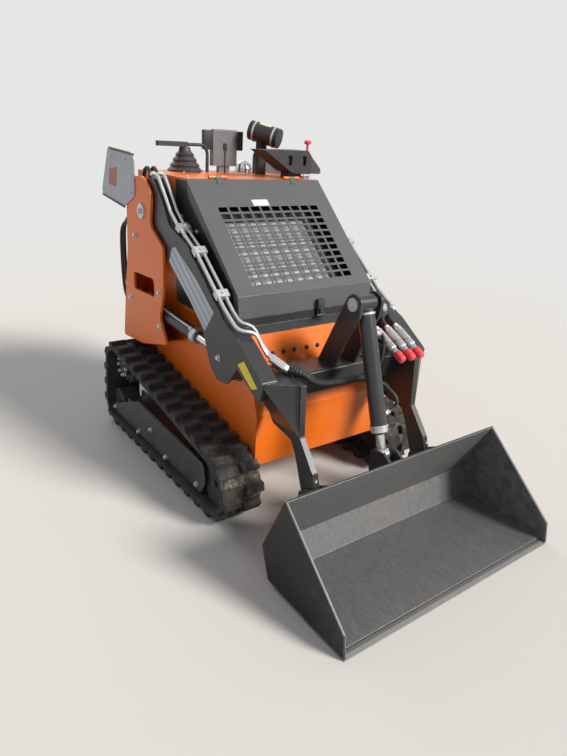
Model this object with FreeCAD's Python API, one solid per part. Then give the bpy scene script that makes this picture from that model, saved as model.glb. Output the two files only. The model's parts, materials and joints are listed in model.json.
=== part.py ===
import FreeCAD, Part
import math
import os
from FreeCAD import Vector

# Stand-on skid steer loader on rubber tracks. Millimetres, +Z up, the bucket points to -Y,
# +X is the machine's left, and the origin is on the ground under the middle of its length.

# Widths, as distances from the middle plane: what stands outside the body follows its half width
body_half = 340
hood_half = body_half + 10
arm_inner = hood_half + 12
arm_width = 65
leg_inner = arm_inner - 77
leg_width = 25
tower_gap = 5
tower_plate = 12
track_inner = body_half + 10
track_width = 180
track_outer = track_inner + track_width
bucket_half = track_outer + 15
attach_half = leg_inner + 115

# Lengths along the machine
lip_y = -1095
body_front_y = -278
body_rear_y = 800
step_depth = 295
rear_y = body_rear_y + step_depth

# Sheets and plates
wall = 8
hood_sheet = 3
wing_sheet = 5
bucket_sheet = 8
seat_gap = 0.3
move_gap = 6
run_gap = 0.08

# Heights of the body
belly_z = 209
deck_z = 1282

# Pivots, as (y, z)
arm_pivot = (534, 1125)
lift_base = (684, 699)
lift_eye = (-123, 646)
bucket_pivot = (-595, 215)
tilt_top = (-466, 905)
tilt_eye = (-650, 345)

# Pins
arm_pin_radius = 22
lift_pin_radius = 16
tilt_pin_radius = 14
bucket_pin_radius = 18
pin_head = 7
pin_play = 0.02
head_sides = 16

tie_down = (body_rear_y + 60, 430)
tie_hole_radius = 14

# Cylinders
lift_barrel_radius = 31
lift_rod_shown = 224
lift_barrel_length = round(math.dist(lift_base, lift_eye) - lift_rod_shown)
lift_rod_radius = 18
lift_eye_radius = 30
lift_eye_width = 40
tilt_barrel_radius = 32
tilt_rod_shown = 91
tilt_barrel_length = round(math.dist(tilt_top, tilt_eye) - tilt_rod_shown)
tilt_rod_radius = 17
tilt_eye_radius = 28
tilt_eye_width = 46

# Tracks
lug_height = 22
belt_thick = 22
lug_pitch = 88
lug_length = 46
tread_groove = 22

# Hydraulic lines
tube_radius = 7
hose_radius = 8
sleeve_radius = 13
line_sides = 8
hose_sides = 6
chord_turn = math.radians(24)

arm_outer = arm_inner + arm_width
arm_middle = arm_inner + arm_width / 2
tower_inner = arm_outer + tower_gap
tower_outer = tower_inner + tower_plate
inside_half = body_half - wall

nodes = {}


def keep(name, *shapes):
    """Store a node: the shapes fused where they meet."""
    shape = shapes[0]
    if len(shapes) > 1:
        shape = shapes[0].fuse(list(shapes[1:])).removeSplitter()
    nodes[name] = shape


def mirrored(shape):
    """The same piece on the machine's other side."""
    return shape.mirror(Vector(0, 0, 0), Vector(1, 0, 0))


def both(shape):
    return [shape, mirrored(shape)]


def wire(corners, place):
    """Closed outline through (u, v, radius) corners, with arcs where the radius isn't 0."""
    cuts = []
    for i, (u, v, radius) in enumerate(corners):
        here = Vector(u, v, 0)
        before = Vector(*corners[i - 1][:2], 0)
        after = Vector(*corners[(i + 1) % len(corners)][:2], 0)
        if radius == 0:
            cuts.append((here, None, here))
            continue
        back = (before - here).normalize()
        ahead = (after - here).normalize()
        half = back.getAngle(ahead) / 2
        reach = radius / math.tan(half)
        middle = (back + ahead).normalize() * (radius / math.sin(half) - radius)
        cuts.append((here + back * reach, here + middle, here + ahead * reach))
    edges = []
    for i, (start, middle, end) in enumerate(cuts):
        if middle is not None:
            edges.append(Part.Arc(place(start), place(middle), place(end)).toShape())
        following = cuts[(i + 1) % len(cuts)][0]
        if (following - end).Length > 1e-6:
            edges.append(Part.LineSegment(place(end), place(following)).toShape())
    return Part.Wire(edges)


def side_plate(corners, x0, x1):
    """A plate cut to (y, z, radius) corners, from x0 to x1."""
    outline = wire(corners, lambda p: Vector(x0, p.x, p.y))
    return Part.Face(outline).extrude(Vector(x1 - x0, 0, 0))


def flat_plate(corners, z0, z1):
    """A plate cut to (x, y, radius) corners, from z0 to z1."""
    outline = wire(corners, lambda p: Vector(p.x, p.y, z0))
    return Part.Face(outline).extrude(Vector(0, 0, z1 - z0))


def front_plate_xz(corners, y0, y1):
    """A plate cut to (x, z, radius) corners, from y0 to y1."""
    outline = wire(corners, lambda p: Vector(p.x, y0, p.y))
    return Part.Face(outline).extrude(Vector(0, y1 - y0, 0))


def box(x0, x1, y0, y1, z0, z1):
    return Part.makeBox(x1 - x0, y1 - y0, z1 - z0, Vector(x0, y0, z0))


def bar(start, end, radius):
    """A round bar between two points."""
    start, end = Vector(*start), Vector(*end)
    return Part.makeCylinder(radius, (end - start).Length, start, end - start)


def cross_bar(at, radius, x0, x1):
    """A round bar along X at at = (y, z)."""
    return Part.makeCylinder(radius, x1 - x0, Vector(x0, *at), Vector(1, 0, 0))


def disc(at, radius, x0, x1, sides):
    """Disc along X with flat sides, for what repeats."""
    corners = []
    for k in range(sides):
        angle = 2 * math.pi * (k + 0.5) / sides
        corners.append((at[0] + radius * math.cos(angle), at[1] + radius * math.sin(angle), 0))
    return side_plate(corners, x0, x1)


def offset_line(points, distance):
    """An open (y, z) line moved sideways to its left by distance, with mitred corners."""
    moved = []
    for i, point in enumerate(points):
        here = Vector(*point, 0)
        ways = []
        if i > 0:
            ways.append((here - Vector(*points[i - 1], 0)).normalize())
        if i < len(points) - 1:
            ways.append((Vector(*points[i + 1], 0) - here).normalize())
        normals = [Vector(-way.y, way.x, 0) for way in ways]
        mean = (normals[0] + normals[-1]).normalize()
        spot = here + mean * (distance / mean.dot(normals[0]))
        moved.append((spot.x, spot.y))
    return moved


def folded(points, thick, x0, x1, bend=0):
    """Folded sheet along an open (y, z) line; thick is to the line's left, right if negative."""
    inner = offset_line(points, thick)
    ends = (0, len(points) - 1)
    near = [(y, z, 0 if i in ends else bend) for i, (y, z) in enumerate(points)]
    far = [(y, z, 0 if i in ends else bend) for i, (y, z) in enumerate(inner)]
    return side_plate(near + far[::-1], x0, x1)


def ring(centre, way, radius, sides):
    """Corners of a flat-sided ring round centre, square to way."""
    across = Vector(1, 0, 0) if abs(way.x) < 0.8 * way.Length else Vector(0, 0, 1)
    first = way.cross(across).normalize()
    second = way.cross(first).normalize()
    corners = []
    for k in range(sides):
        angle = 2 * math.pi * (k + 0.5) / sides
        corners.append(centre + first * (radius * math.cos(angle)) + second * (radius * math.sin(angle)))
    return corners


def skinned(rings):
    """Solid through rings of corners, with flat faces between them and over both ends."""
    faces = [Part.Face(Part.makePolygon(end + end[:1])) for end in (rings[0], rings[-1])]
    for near, far in zip(rings, rings[1:]):
        for k in range(len(near)):
            quad = [near[k - 1], near[k], far[k], far[k - 1], near[k - 1]]
            faces.append(Part.Face(Part.makePolygon(quad)))
    return Part.Solid(Part.Shell(faces))


def bent(points, bend):
    """The points with each inner corner replaced by an arc of chords. The arc's radius is
    bend, or where that is None as large as the runs at the corner allow."""
    path = [points[0]]
    for before, here, after in zip(points, points[1:], points[2:]):
        back, ahead = before - here, after - here
        half = back.getAngle(ahead) / 2
        radius = bend or 0.45 * min(back.Length, ahead.Length) * math.tan(half)
        back.normalize()
        ahead.normalize()
        turn = math.pi - 2 * half
        chords = max(1, round(turn / chord_turn))
        centre = here + (back + ahead).normalize() * (radius / math.sin(half))
        first, last = [here + way * (radius / math.tan(half)) - centre for way in (back, ahead)]
        for k in range(chords + 1):
            swing = FreeCAD.Rotation(first.cross(last), math.degrees(turn * k / chords))
            path.append(centre + swing.multVec(first))
    return path + [points[-1]]


def pipe(points, radius, bend=None, sides=line_sides):
    """Tube or hose with flat sides along (x, y, z) points, mitred at each chord of its bends."""
    path = bent([Vector(*p) for p in points], bend)
    ways = [(b - a).normalize() for a, b in zip(path, path[1:])]
    rings = [ring(path[0], ways[0], radius, sides)]
    for spot, way, following in zip(path[1:], ways, ways[1:] + ways[-1:]):
        mitre = way + following
        rings.append([corner + way * ((spot - corner).dot(mitre) / way.dot(mitre))
                      for corner in rings[-1]])
    return skinned(rings)


def hose(points):
    return pipe(points, hose_radius, None, hose_sides)


def turned(profile, x, y, z, sides):
    """Solid of revolution with flat sides: (radius, height) profile about a vertical axis."""
    rings = []
    for radius, height in profile:
        rings.append(ring(Vector(x, y, z + height), Vector(0, 0, 1), radius, sides))
    return skinned(rings)


def along(start, end, distance):
    """The (y, z) point at a distance from start towards end."""
    way = Vector(end[0] - start[0], end[1] - start[1], 0).normalize()
    return (start[0] + way.x * distance, start[1] + way.y * distance)


# Body

front_line = [(body_front_y, belly_z), (body_front_y, 430), (-180, 735)]
ledge_line = [(-180, 738), (-141, 760), (-141, 796.3)]
hood_line = [(-141, 797), (-132, 883), (293, deck_z)]
hood_hinge = (300, deck_z + 7)
hinge_radius = 7
hinge_pin_radius = 4
ledge_sheet = 4
panel_low_z = 735
panel_rear_y = 410
slot_columns, slot_rows = 10, 11
slot_pitch_x, slot_pitch_up = 53.6, 36.4
slot_width, slot_height = 43, 26
slot_start = 44
engine_half = 210
engine_front_y = 60
engine_length = 400
engine_low_z = 330
engine_height = 530


def under_hood(z):
    """The y of a line that stays clear below the hood's slope at height z."""
    low, high = offset_line(hood_line, -(hood_sheet + move_gap))[1:]
    return low[0] + (high[0] - low[0]) * (z - low[1]) / (high[1] - low[1])


def chassis_frame():
    """Tub of bent plate, open in front and above, with a side plate down each side."""
    belly = [(body_front_y + wall, belly_z), (body_rear_y - 100, belly_z),
             (body_rear_y, belly_z + 100), (body_rear_y, deck_z - wall)]
    tub = folded(belly, wall, -body_half, body_half)
    inner_front = offset_line(front_line, -wall)
    corners = [(y, z, 0) for y, z in inner_front]
    corners[0] = (body_front_y + wall, belly_z, 0)
    corners += [(panel_rear_y, panel_low_z, 30), (panel_rear_y, deck_z - wall, 0)]
    corners += [(y, z, 0) for y, z in belly[:0:-1]]
    plate = side_plate(corners, inside_half, body_half)
    cross = box(-inside_half, inside_half, 500, 500 + wall, 1200, deck_z - wall)
    keep("chassis_frame", tub, cross, *both(plate))


def body_sheets():
    keep("front_plate", folded(front_line, -wall, -body_half, body_half))
    keep("front_ledge", folded(ledge_line, -ledge_sheet, -body_half, body_half))
    hood_inner = offset_line(hood_line, -(hood_sheet + move_gap))
    ledge_inner = offset_line(ledge_line, -(ledge_sheet + seat_gap))
    low_z, top_z = panel_low_z + seat_gap, deck_z - wall - seat_gap
    rear_y = panel_rear_y - seat_gap
    corners = [(ledge_inner[0][0] + 5, low_z, 0), (*ledge_inner[1], 0),
               (ledge_inner[2][0], ledge_line[2][1] - move_gap, 0),
               (*hood_inner[0], 0), (*hood_inner[1], 0),
               (under_hood(top_z), top_z, 0), (rear_y, top_z, 0), (rear_y, low_z, 30)]
    keep("side_panels", Part.makeCompound(both(side_plate(corners, inside_half, body_half))))
    half = body_half - 50
    rear = front_plate_xz([(-half, 420, 20), (half, 420, 20), (half, 1180, 20), (-half, 1180, 20)],
                          body_rear_y + seat_gap, body_rear_y + 12)
    keep("rear_panel", rear)


hinge_places = (150, 180, 210, 240)


def deck():
    """Top plate with the outer knuckles and the pins of the hood's two hinges."""
    plate = box(-body_half, body_half, hood_line[2][0] + move_gap, body_rear_y, deck_z - wall, deck_z)
    pieces = []
    x0, x1, x2, x3 = hinge_places
    for start, end in ((x0, x1 - run_gap), (x2 + run_gap, x3)):
        pieces.append(cross_bar(hood_hinge, hinge_radius, start, end))
    pieces.append(cross_bar(hood_hinge, hinge_pin_radius, x0, x3))
    hinge = pieces[0].fuse(pieces[1:])
    foot = box(x0, x1 - 2, hood_hinge[0], hood_hinge[0] + hinge_radius, deck_z, hood_hinge[1])
    second = box(x2 + 2, x3, hood_hinge[0], hood_hinge[0] + hinge_radius, deck_z, hood_hinge[1])
    hinge = hinge.fuse([foot, second])
    keep("deck", plate, *both(hinge))


def hood_cover():
    """Folded hood with rows of punched slots, a flange down each side and two hinge leaves."""
    skin = folded(hood_line, -hood_sheet, -hood_half, hood_half)
    rim = offset_line(hood_line, -42)
    flange = side_plate([(y, z, 0) for y, z in hood_line] + [(rim[2][0] - 50, rim[2][1] - 47, 0),
                        (rim[1][0] - 4, rim[1][1] + 30, 15), (hood_line[1][0] + 24, hood_line[0][1], 0)],
                        hood_half - hood_sheet, hood_half)
    low, high = Vector(0, *hood_line[1]), Vector(0, *hood_line[2])
    up = (high - low).normalize()
    out = Vector(0, -up.z, up.y)
    slots = []
    for row in range(slot_rows):
        for column in range(slot_columns):
            x = (column - (slot_columns - 1) / 2) * slot_pitch_x - slot_width / 2
            base = low + up * (slot_start + row * slot_pitch_up) - out * 3 * hood_sheet
            slot = Part.makeBox(slot_width, slot_height, 4 * hood_sheet)
            slot.Placement = FreeCAD.Placement(
                base + Vector(x, 0, 0), FreeCAD.Rotation(Vector(1, 0, 0), up, out, "ZXY"))
            slots.append(slot)
    skin = skin.cut(Part.makeCompound(slots))
    x1, x2 = hinge_places[1] + run_gap, hinge_places[2] - run_gap
    leaf_end = along(hood_line[2], hood_line[1], -8)
    leaf = folded([along(hood_line[2], hood_line[1], 26), leaf_end], hood_sheet, x1, x2)
    knuckle = cross_bar(hood_hinge, hinge_radius, x1, x2).fuse(leaf)
    knuckle = knuckle.cut(cross_bar(hood_hinge, hinge_pin_radius + run_gap, x1, x2))
    keep("hood_cover", skin, *both(flange), *both(knuckle))
    lip = offset_line(hood_line, seat_gap)
    reach = move_gap + wall
    latch = [(hood_line[0][0] - reach, 766), (hood_line[0][0] - move_gap, 766),
             (hood_line[0][0] - move_gap, lip[0][1] + 2), along(lip[0], lip[1], 6),
             along(lip[0], lip[1], 41), (hood_line[0][0] - wall, 838), (hood_line[0][0] - reach, 800)]
    keep("hood_latch", side_plate([(y, z, 0) for y, z in latch], 36, 68))


def cooling():
    """The radiator core behind the slots, seated on a black plate across the bay."""
    depth = 60
    line = [hood_line[1], hood_line[2]]
    back = offset_line(line, -depth)
    low = along(back[0], back[1], 10)
    high = along(back[0], back[1], 470)
    plate = folded([low, high], -4, -(inside_half - seat_gap), inside_half - seat_gap)
    keep("cooling_plate", plate)
    core_low = along(back[0], back[1], 40)
    core_high = along(back[0], back[1], 375)
    keep("radiator_core", folded([core_low, core_high], 30, 72 - body_half, body_half - 179))
    block = box(-engine_half, engine_half, engine_front_y, engine_front_y + engine_length,
                engine_low_z, engine_low_z + engine_height)
    rails = [box(x, x + 60, 20, 500, belly_z + wall, engine_low_z)
             for x in (10 - engine_half, engine_half - 70)]
    keep("engine_block", block, *rails)


tower_rear = [(792, 486), (762, 665), (711, 922), (704, 1110)]


def web_behind(z):
    """The y at height z where a hose's flat end just clears the back of a tower's rear web."""
    for (y0, z0), (y1, z1) in zip(tower_rear, tower_rear[1:]):
        if z0 <= z <= z1:
            slope = (y0 - y1) / (z1 - z0)
            return y0 - slope * (z - z0) + slope * hose_radius + seat_gap


def tower():
    """Outer plate of one arm tower with the webs that carry it on the body."""
    corners = [(305, 569, 10), (372, 677, 30), (328, 809, 12), (328, 998, 30), (454, 1075, 40),
               (430, 1215, 70), (520, 1275, 80), (640, 1262, 80), (702, 1131, 60),
               (711, 922, 0), (762, 665, 0), (795, 478, 15), (560, 500, 60)]
    plate = side_plate(corners, tower_inner, tower_outer)
    window = side_plate([(418, 760, 20), (651, 752, 20), (645, 835, 20), (425, 842, 20)],
                        tower_inner - 1, tower_outer + 1)
    plate = plate.cut(window)
    rear_web = folded(tower_rear, 10, body_half, tower_inner)
    floor_line = [(315, 569), (560, 506), (790, 484)]
    floor_web = folded(floor_line, 10, body_half, tower_inner)
    holes = [cross_bar(arm_pivot, arm_pin_radius, body_half - 40, tower_outer + 40),
             cross_bar(lift_base, lift_pin_radius, body_half - 40, tower_outer + 40)]
    shape = plate.fuse([rear_web, floor_web]).removeSplitter().cut(Part.makeCompound(holes))
    keep("tower_left", shape)
    keep("tower_right", mirrored(shape))


def tower_pins():
    """Pins of the arms and of the lift cylinders, from the body side through the tower plate."""
    arm_pin = cross_bar(arm_pivot, arm_pin_radius - pin_play, body_half, tower_outer)
    head = disc(arm_pivot, arm_pin_radius + 12, tower_outer, tower_outer + pin_head, head_sides)
    lift_pin = cross_bar(lift_base, lift_pin_radius - pin_play, body_half, tower_outer)
    keep("tower_pins", Part.makeCompound(both(arm_pin.fuse(head)) + both(lift_pin)))


def side_wings():
    """Bare upright plates bolted outside the towers; the left one reaches further forward."""
    right = [(890, 1377, 25), (590, 1363, 40), (600, 1180, 20), (726, 1119, 15), (1001, 1153, 25)]
    left = [(890, 1387, 25), (505, 1404, 20), (366, 1304, 15), (596, 1290, 10)] + right[2:]
    pieces = [side_plate(left, tower_outer, tower_outer + wing_sheet),
              mirrored(side_plate(right, tower_outer, tower_outer + wing_sheet))]
    keep("side_wings", Part.makeCompound(pieces))


def platform():
    """Operator's step behind the body, on two brackets with tie-down holes."""
    step_top, step_low = 198, 160
    half, front = body_half - 40, body_rear_y + 15
    corners = [(-half, front, 0), (half, front, 0), (half, rear_y, 12), (-half, rear_y, 12)]
    lip = flat_plate(corners, step_low, step_top)
    inner = half - wall
    hollow = flat_plate([(-inner, body_rear_y, 0), (inner, body_rear_y, 0),
                         (inner, rear_y - wall, 0), (-inner, rear_y - wall, 0)],
                        step_low - wall, step_top - wall)
    bracket = side_plate([(body_rear_y + seat_gap, 330, 0), (body_rear_y + seat_gap, 520, 10),
                          (body_rear_y + 70, 500, 20), (rear_y - 60, step_top, 30),
                          (front, step_top, 0), (front, 330, 0)], inner, half)
    bracket = bracket.cut(cross_bar(tie_down, tie_hole_radius, inner - wall, half + wall))
    keep("operator_platform", lip.cut(hollow), *both(bracket))


# Controls on the deck

boot_place = (-142, 705)
grip_low = deck_z + 112
bar_radius = 8
bar_bend = 40
lever_place = (36, 630)
cleaner_high = (body_half - 140, 660, deck_z + 204)
cleaner_low = (body_half - 55, 535, deck_z + 170)
cleaner_radius = 46
stand_x = body_half - 134
stand_width = 44
pod_start, pod_end = 11, 146
cap_place = (pod_end + 69, 745)
dash_front_y = 345
dash_back_y = 470
dash_end = body_half + 5
recess_width = 24
recess_depth = 14


def joystick():
    """Stepped bellows boot with a flat hand grip on its top."""
    x, y = boot_place
    profile = [(84, 0), (84, 8), (68, 22), (71, 30), (55, 46), (58, 54), (42, 70), (45, 78),
               (30, 92), (24, 112)]
    boot = turned(profile, x, y, deck_z, 20)
    grip = flat_plate([(x - 146, y - 14, 10), (x - 20, y - 24, 0), (x + 9, y - 20, 8),
                       (x + 9, y + 20, 8), (x - 20, y + 24, 0), (x - 146, y + 14, 10)],
                      grip_low, grip_low + 22)
    keep("joystick", boot, grip)


def reference_bars():
    """Two bent hand bars on the deck with a lever between them."""
    x, y = boot_place
    height = grip_low + 11
    left_x = x + 122
    left = [(left_x, y, deck_z), (left_x, y, height), (x + 9 + seat_gap, y, height)]
    right_x = body_half - 100
    right = [(right_x, 683, deck_z), (right_x, 683, deck_z + 118),
             (right_x + 82, dash_back_y + 4, deck_z + 106)]
    foot, neck, top = [(*lever_place, deck_z + rise) for rise in (0, 104, 137)]
    lever = pipe([foot, neck], 4.5)
    knob = pipe([neck, top], 10)
    bars = [pipe(route, bar_radius, bar_bend) for route in (left, right)]
    keep("reference_bars", Part.makeCompound(bars + [lever.fuse(knob)]))


def instruments():
    """Instrument housing, dash box with two recesses, filler cap, and the air cleaner."""
    pod_low = deck_z + 29
    pod = side_plate([(700, pod_low, 0), (735, pod_low, 0), (735, pod_low + 163, 12),
                      (704, pod_low + 171, 6)], pod_start, pod_end)
    foot = box(pod_start + 37, pod_end - 38, 706, 732, deck_z, pod_low)
    keep("instrument_pod", pod, foot)
    outline = [(dash_end - 271, deck_z + 122, 0), (dash_end - 22, deck_z + 127, 8),
               (dash_end, deck_z + 103, 0), (dash_end, deck_z + 21, 8),
               (dash_end - 111, deck_z + 26, 0), (dash_end - 211, deck_z + 87, 0)]
    dash = front_plate_xz(outline, dash_front_y, dash_back_y)
    for x in (dash_end - 139, dash_end - 55):
        dash = dash.cut(box(x, x + recess_width, dash_front_y - 1, dash_front_y + recess_depth,
                            deck_z + 60, deck_z + 102))
    pedestal = box(dash_end - 95, dash_end - 15, 400, 460, deck_z, deck_z + 26)
    keep("dash_box", dash, pedestal)
    profile = [(44, 0), (44, 20), (35, 43), (20, 54), (6, 58)]
    keep("fuel_cap", turned(profile, *cap_place, deck_z, 24))
    body = bar(cleaner_low, cleaner_high, cleaner_radius)
    stand = box(stand_x, stand_x + stand_width, 590, 620, deck_z, cleaner_low[2] - 2)
    keep("air_cleaner", body, stand)


# Undercarriage

idler = ((-225, 145), 145)
rear_idler = ((780, 115), 115)
sprocket = ((740, 325), 135)
roller_radius = 40
roller_places = (70, 250, 430, 610)
sprocket_teeth = 12


def loop_marks(circles):
    """Tangent points of the belt round three circles, listed as (centre, radius, in, out)."""
    marks = []
    count = len(circles)
    lines = []
    for i in range(count):
        (c0, r0), (c1, r1) = circles[i], circles[(i + 1) % count]
        way = Vector(c1[0] - c0[0], c1[1] - c0[1], 0)
        length = way.Length
        turn = math.asin((r0 - r1) / length)
        angle = math.atan2(way.y, way.x) - math.pi / 2 + turn
        normal = Vector(math.cos(angle), math.sin(angle), 0)
        lines.append((Vector(*c0, 0) + normal * r0, Vector(*c1, 0) + normal * r1))
    for i in range(count):
        marks.append((Vector(*circles[i][0], 0), circles[i][1], lines[i - 1][1], lines[i][0]))
    return marks


def loop_wire(circles, x):
    """The belt's outline at x: straight runs and arcs round the circles."""
    marks = loop_marks(circles)
    edges = []
    for i, (centre, radius, start, end) in enumerate(marks):
        middle = ((start - centre) + (end - centre)).normalize() * radius
        first = (start - centre)
        second = (end - centre)
        if first.cross(second).z < 0:
            middle = middle * -1
        points = [Vector(x, p.x, p.y) for p in (start, centre + middle, end)]
        edges.append(Part.Arc(*points).toShape())
        following = marks[(i + 1) % len(marks)][2]
        edges.append(Part.LineSegment(points[2], Vector(x, following.x, following.y)).toShape())
    return Part.Wire(edges)


def tread_ring(circles, x0, x1, phase):
    """One half of the tread: a toothed outline, lug after lug round the loop."""
    outer = loop_wire([(c, r - lug_height) for c, r in circles], x0)
    count = int(outer.Length / lug_pitch)
    pitch = outer.Length / count
    spacing = 2
    points = outer.discretize(Number=int(outer.Length / spacing) + 1)[:-1]
    step = outer.Length / len(points)
    slope = 8
    rises = ((0, 0), (slope, 1), (lug_length - slope, 1), (lug_length, 0), ((lug_length + pitch) / 2, 0))
    corners = []
    for k in range(count):
        for run, up in rises:
            index = int(round(((k + phase) * pitch + run) / step)) % len(points)
            here = points[index]
            ahead = points[(index + 1) % len(points)] - here
            normal = Vector(0, ahead.z, -ahead.y).normalize()
            corners.append(here + normal * (lug_height * up))
    lugs = Part.Face(Part.makePolygon(corners + [corners[0]])).extrude(Vector(x1 - x0, 0, 0))
    thick = lug_height + belt_thick
    hole = Part.Face(loop_wire([(c, r - thick) for c, r in circles], x0 - 1))
    return lugs.cut(hole.extrude(Vector(x1 - x0 + 2, 0, 0)))


def tracks():
    circles = [idler, rear_idler, sprocket]
    middle = (track_inner + track_outer) / 2
    outer = tread_ring(circles, middle + tread_groove / 2, track_outer, 0)
    inner = tread_ring(circles, track_inner, middle - tread_groove / 2, 0.5)
    flat = [(c, r - lug_height) for c, r in circles]
    band = Part.Face(loop_wire(flat, middle - tread_groove / 2)).extrude(Vector(tread_groove, 0, 0))
    thick = lug_height + belt_thick
    hole = Part.Face(loop_wire([(c, r - thick) for c, r in circles], middle - tread_groove))
    band = band.cut(hole.extrude(Vector(2 * tread_groove, 0, 0)))
    shape = outer.fuse([inner, band])
    keep("track_left", shape)
    keep("track_right", mirrored(shape))


def track_frames():
    """Beam between the track's runs with the outer guard plate, its two idlers and four rollers."""
    guard_out = track_outer - 20
    guard_in = guard_out - wall
    inside = lug_height + belt_thick
    run_z = inside + 12
    guard = side_plate([(836, 87, 15), (490, 232, 30), (-157, 209, 40), (-170, 120, 30),
                        (-130, run_z, 20), (790, run_z, 20)], guard_in, guard_out)
    beam_top = 190
    web_in = track_inner + 40
    web_out = web_in + 12
    pieces = [box(track_inner + 20, guard_in, 20, 640, 128, beam_top),
              box(web_in, web_out, -140, 700, 110, beam_top)]
    for y in (80, 520):
        pieces.append(box(body_half, track_inner + 20, y, y + 60, 135, beam_top + 60))
        pieces.append(box(track_inner + 20, track_inner + 50, y, y + 60, beam_top, beam_top + 60))
    wheels, room = [], []
    for at, radius in (idler, rear_idler):
        reach = radius - inside
        wheel = disc(at, reach - seat_gap, track_inner + 60, guard_out - 20, 24)
        axle = disc(at, 14, web_out, guard_in, 12)
        wheels.append(wheel.fuse(axle))
        room.append(disc(at, reach + 3, web_out + 1, guard_in - 0.1, 24))
    for y in roller_places:
        at = (y, inside + roller_radius)
        wheels.append(disc(at, roller_radius - seat_gap, web_out, guard_in, 16))
        room.append(disc(at, roller_radius + 3, web_out, guard_in, 16))
    frame = guard.fuse(pieces).removeSplitter().cut(Part.makeCompound(room))
    keep("track_frames", Part.makeCompound(both(frame)))
    keep("track_wheels", Part.makeCompound(wheels + [mirrored(w) for w in wheels]))


def sprockets():
    """Toothed drive sprocket and its hub motor on the body side."""
    at, radius = sprocket
    reach = radius - lug_height - belt_thick - seat_gap
    root = reach - 18
    corners = []
    for k in range(sprocket_teeth):
        for turn, r in ((0, root), (0.3, root), (0.42, reach), (0.7, reach)):
            angle = 2 * math.pi * (k + turn) / sprocket_teeth
            corners.append((at[0] + r * math.cos(angle), at[1] + r * math.sin(angle), 0))
    wheel = side_plate(corners, track_inner + 75, track_inner + 105)
    hub = disc(at, 48, body_half, track_inner + 132, 24)
    keep("drive_sprockets", Part.makeCompound(both(wheel.fuse(hub).removeSplitter())))


# Lift arms

arm_top = [(448, 1271, 20), (374, 1189, 0), (302, 1097, 60), (151, 1040, 0), (25, 944, 0),
           (-148, 808, 0), (-280, 748, 60), (-432, 645, 12)]
arm_low = [(-412, 563, 8), (-371, 583, 30), (-257, 646, 0), (-20, 700, 40), (90, 800, 80),
           (330, 955, 60), (470, 1040, 30), (600, 1095, 40), (600, 1190, 40), (520, 1262, 40)]
knee_top_z = 640
knee_low_z = 441
eye_room = 82


def lift_arm():
    """Box arm, open below for the lift rod's eye, with its knee and leg plate."""
    body = side_plate(arm_top + arm_low, arm_inner, arm_outer)
    belly = side_plate([(-257, 646, 0), (-190, 556, 20), (-110, 548, 20), (-50, 600, 20),
                       (0, 715, 0), (-200, 720, 0)], arm_inner, arm_outer)
    body = body.fuse(belly)
    web = 9
    room = cross_bar(lift_eye, eye_room, arm_inner + web, arm_outer - web)
    slot = side_plate([(-205, 646, 0), (-205, 480, 0), (160, 480, 0), (160, 860, 0), (60, 790, 0),
                       (-90, 735, 0)], arm_inner + web, arm_outer - web)
    body = body.cut(room.fuse(slot))
    body = body.cut(cross_bar(arm_pivot, arm_pin_radius + run_gap, arm_inner - 60, arm_outer + 60))
    leg_outer = leg_inner + leg_width
    top = [Vector(leg_inner, -505, knee_top_z), Vector(arm_outer, -420, knee_top_z),
           Vector(arm_outer, -330, knee_top_z), Vector(leg_inner, -290, knee_top_z)]
    low = [Vector(leg_inner, -517, knee_low_z), Vector(leg_outer, -517, knee_low_z),
           Vector(leg_outer, -360, knee_low_z), Vector(leg_inner, -360, knee_low_z)]
    knee = Part.makeLoft([Part.makePolygon(top + top[:1]), Part.makePolygon(low + low[:1])],
                         True, True)
    leg = side_plate([(-505, knee_top_z, 0), (-517, knee_low_z, 25), (-606, 330, 25), (-643, 225, 30),
                      (-620, 175, 0), (-570, 175, 0), (-537, 262, 20), (-497, 361, 20),
                      (-467, 411, 20), (-347, 430, 30), (-240, 560, 30), (-240, knee_top_z, 0)],
                     leg_inner, leg_outer)
    boss = cross_bar(bucket_pivot, 42, leg_inner - 5, leg_outer + 5)
    bore = cross_bar(bucket_pivot, bucket_pin_radius + run_gap, leg_inner - 60, leg_outer + 60)
    shape = body.fuse([knee, leg, boss]).removeSplitter().cut(bore)
    keep("arm_left", shape)
    keep("arm_right", mirrored(shape))


bar_front, bar_back, bar_low, bar_high = -400, -262, 548, 635
lid_sheet = 5


def arm_crossbar():
    """Box tube between the two legs, with two lids on top of each half."""
    tube = side_plate([(bar_front, bar_low, 0), (bar_back, bar_low, 0),
                       (bar_back, bar_high, 10), (bar_front, bar_high, 10)], -leg_inner, leg_inner)
    lids = []
    for x0, x1 in ((164, 64), (45, 10)):
        lids += both(box(leg_inner - x0, leg_inner - x1, bar_front + 4, bar_back - 4,
                         bar_high, bar_high + lid_sheet))
    keep("arm_crossbar", tube, *lids)


bracket_inner = 46
bracket_plate = 12


def tilt_bracket():
    """Two ear plates on the crossbar that carry the top of the tilt cylinder, and its pin."""
    outer = bracket_inner + bracket_plate
    ear = side_plate([(-290, bar_high, 0), (-430, 925, 0), (-460, 950, 30), (-510, 930, 30),
                      (-503, 865, 30), (-418, 700, 40), (bar_front + 6, bar_high, 0)], bracket_inner, outer)
    ear = ear.cut(cross_bar(tilt_top, tilt_pin_radius, 0, 100))
    pin = cross_bar(tilt_top, tilt_pin_radius - pin_play, -outer, outer)
    head = disc(tilt_top, tilt_pin_radius + 12, outer, outer + pin_head, head_sides)
    keep("tilt_bracket", Part.makeCompound(both(ear)))
    keep("tilt_pin", pin, *both(head))


tube_lift = 17
top_run = 38
tube_places = (arm_inner + 16, arm_outer - 18)


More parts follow.
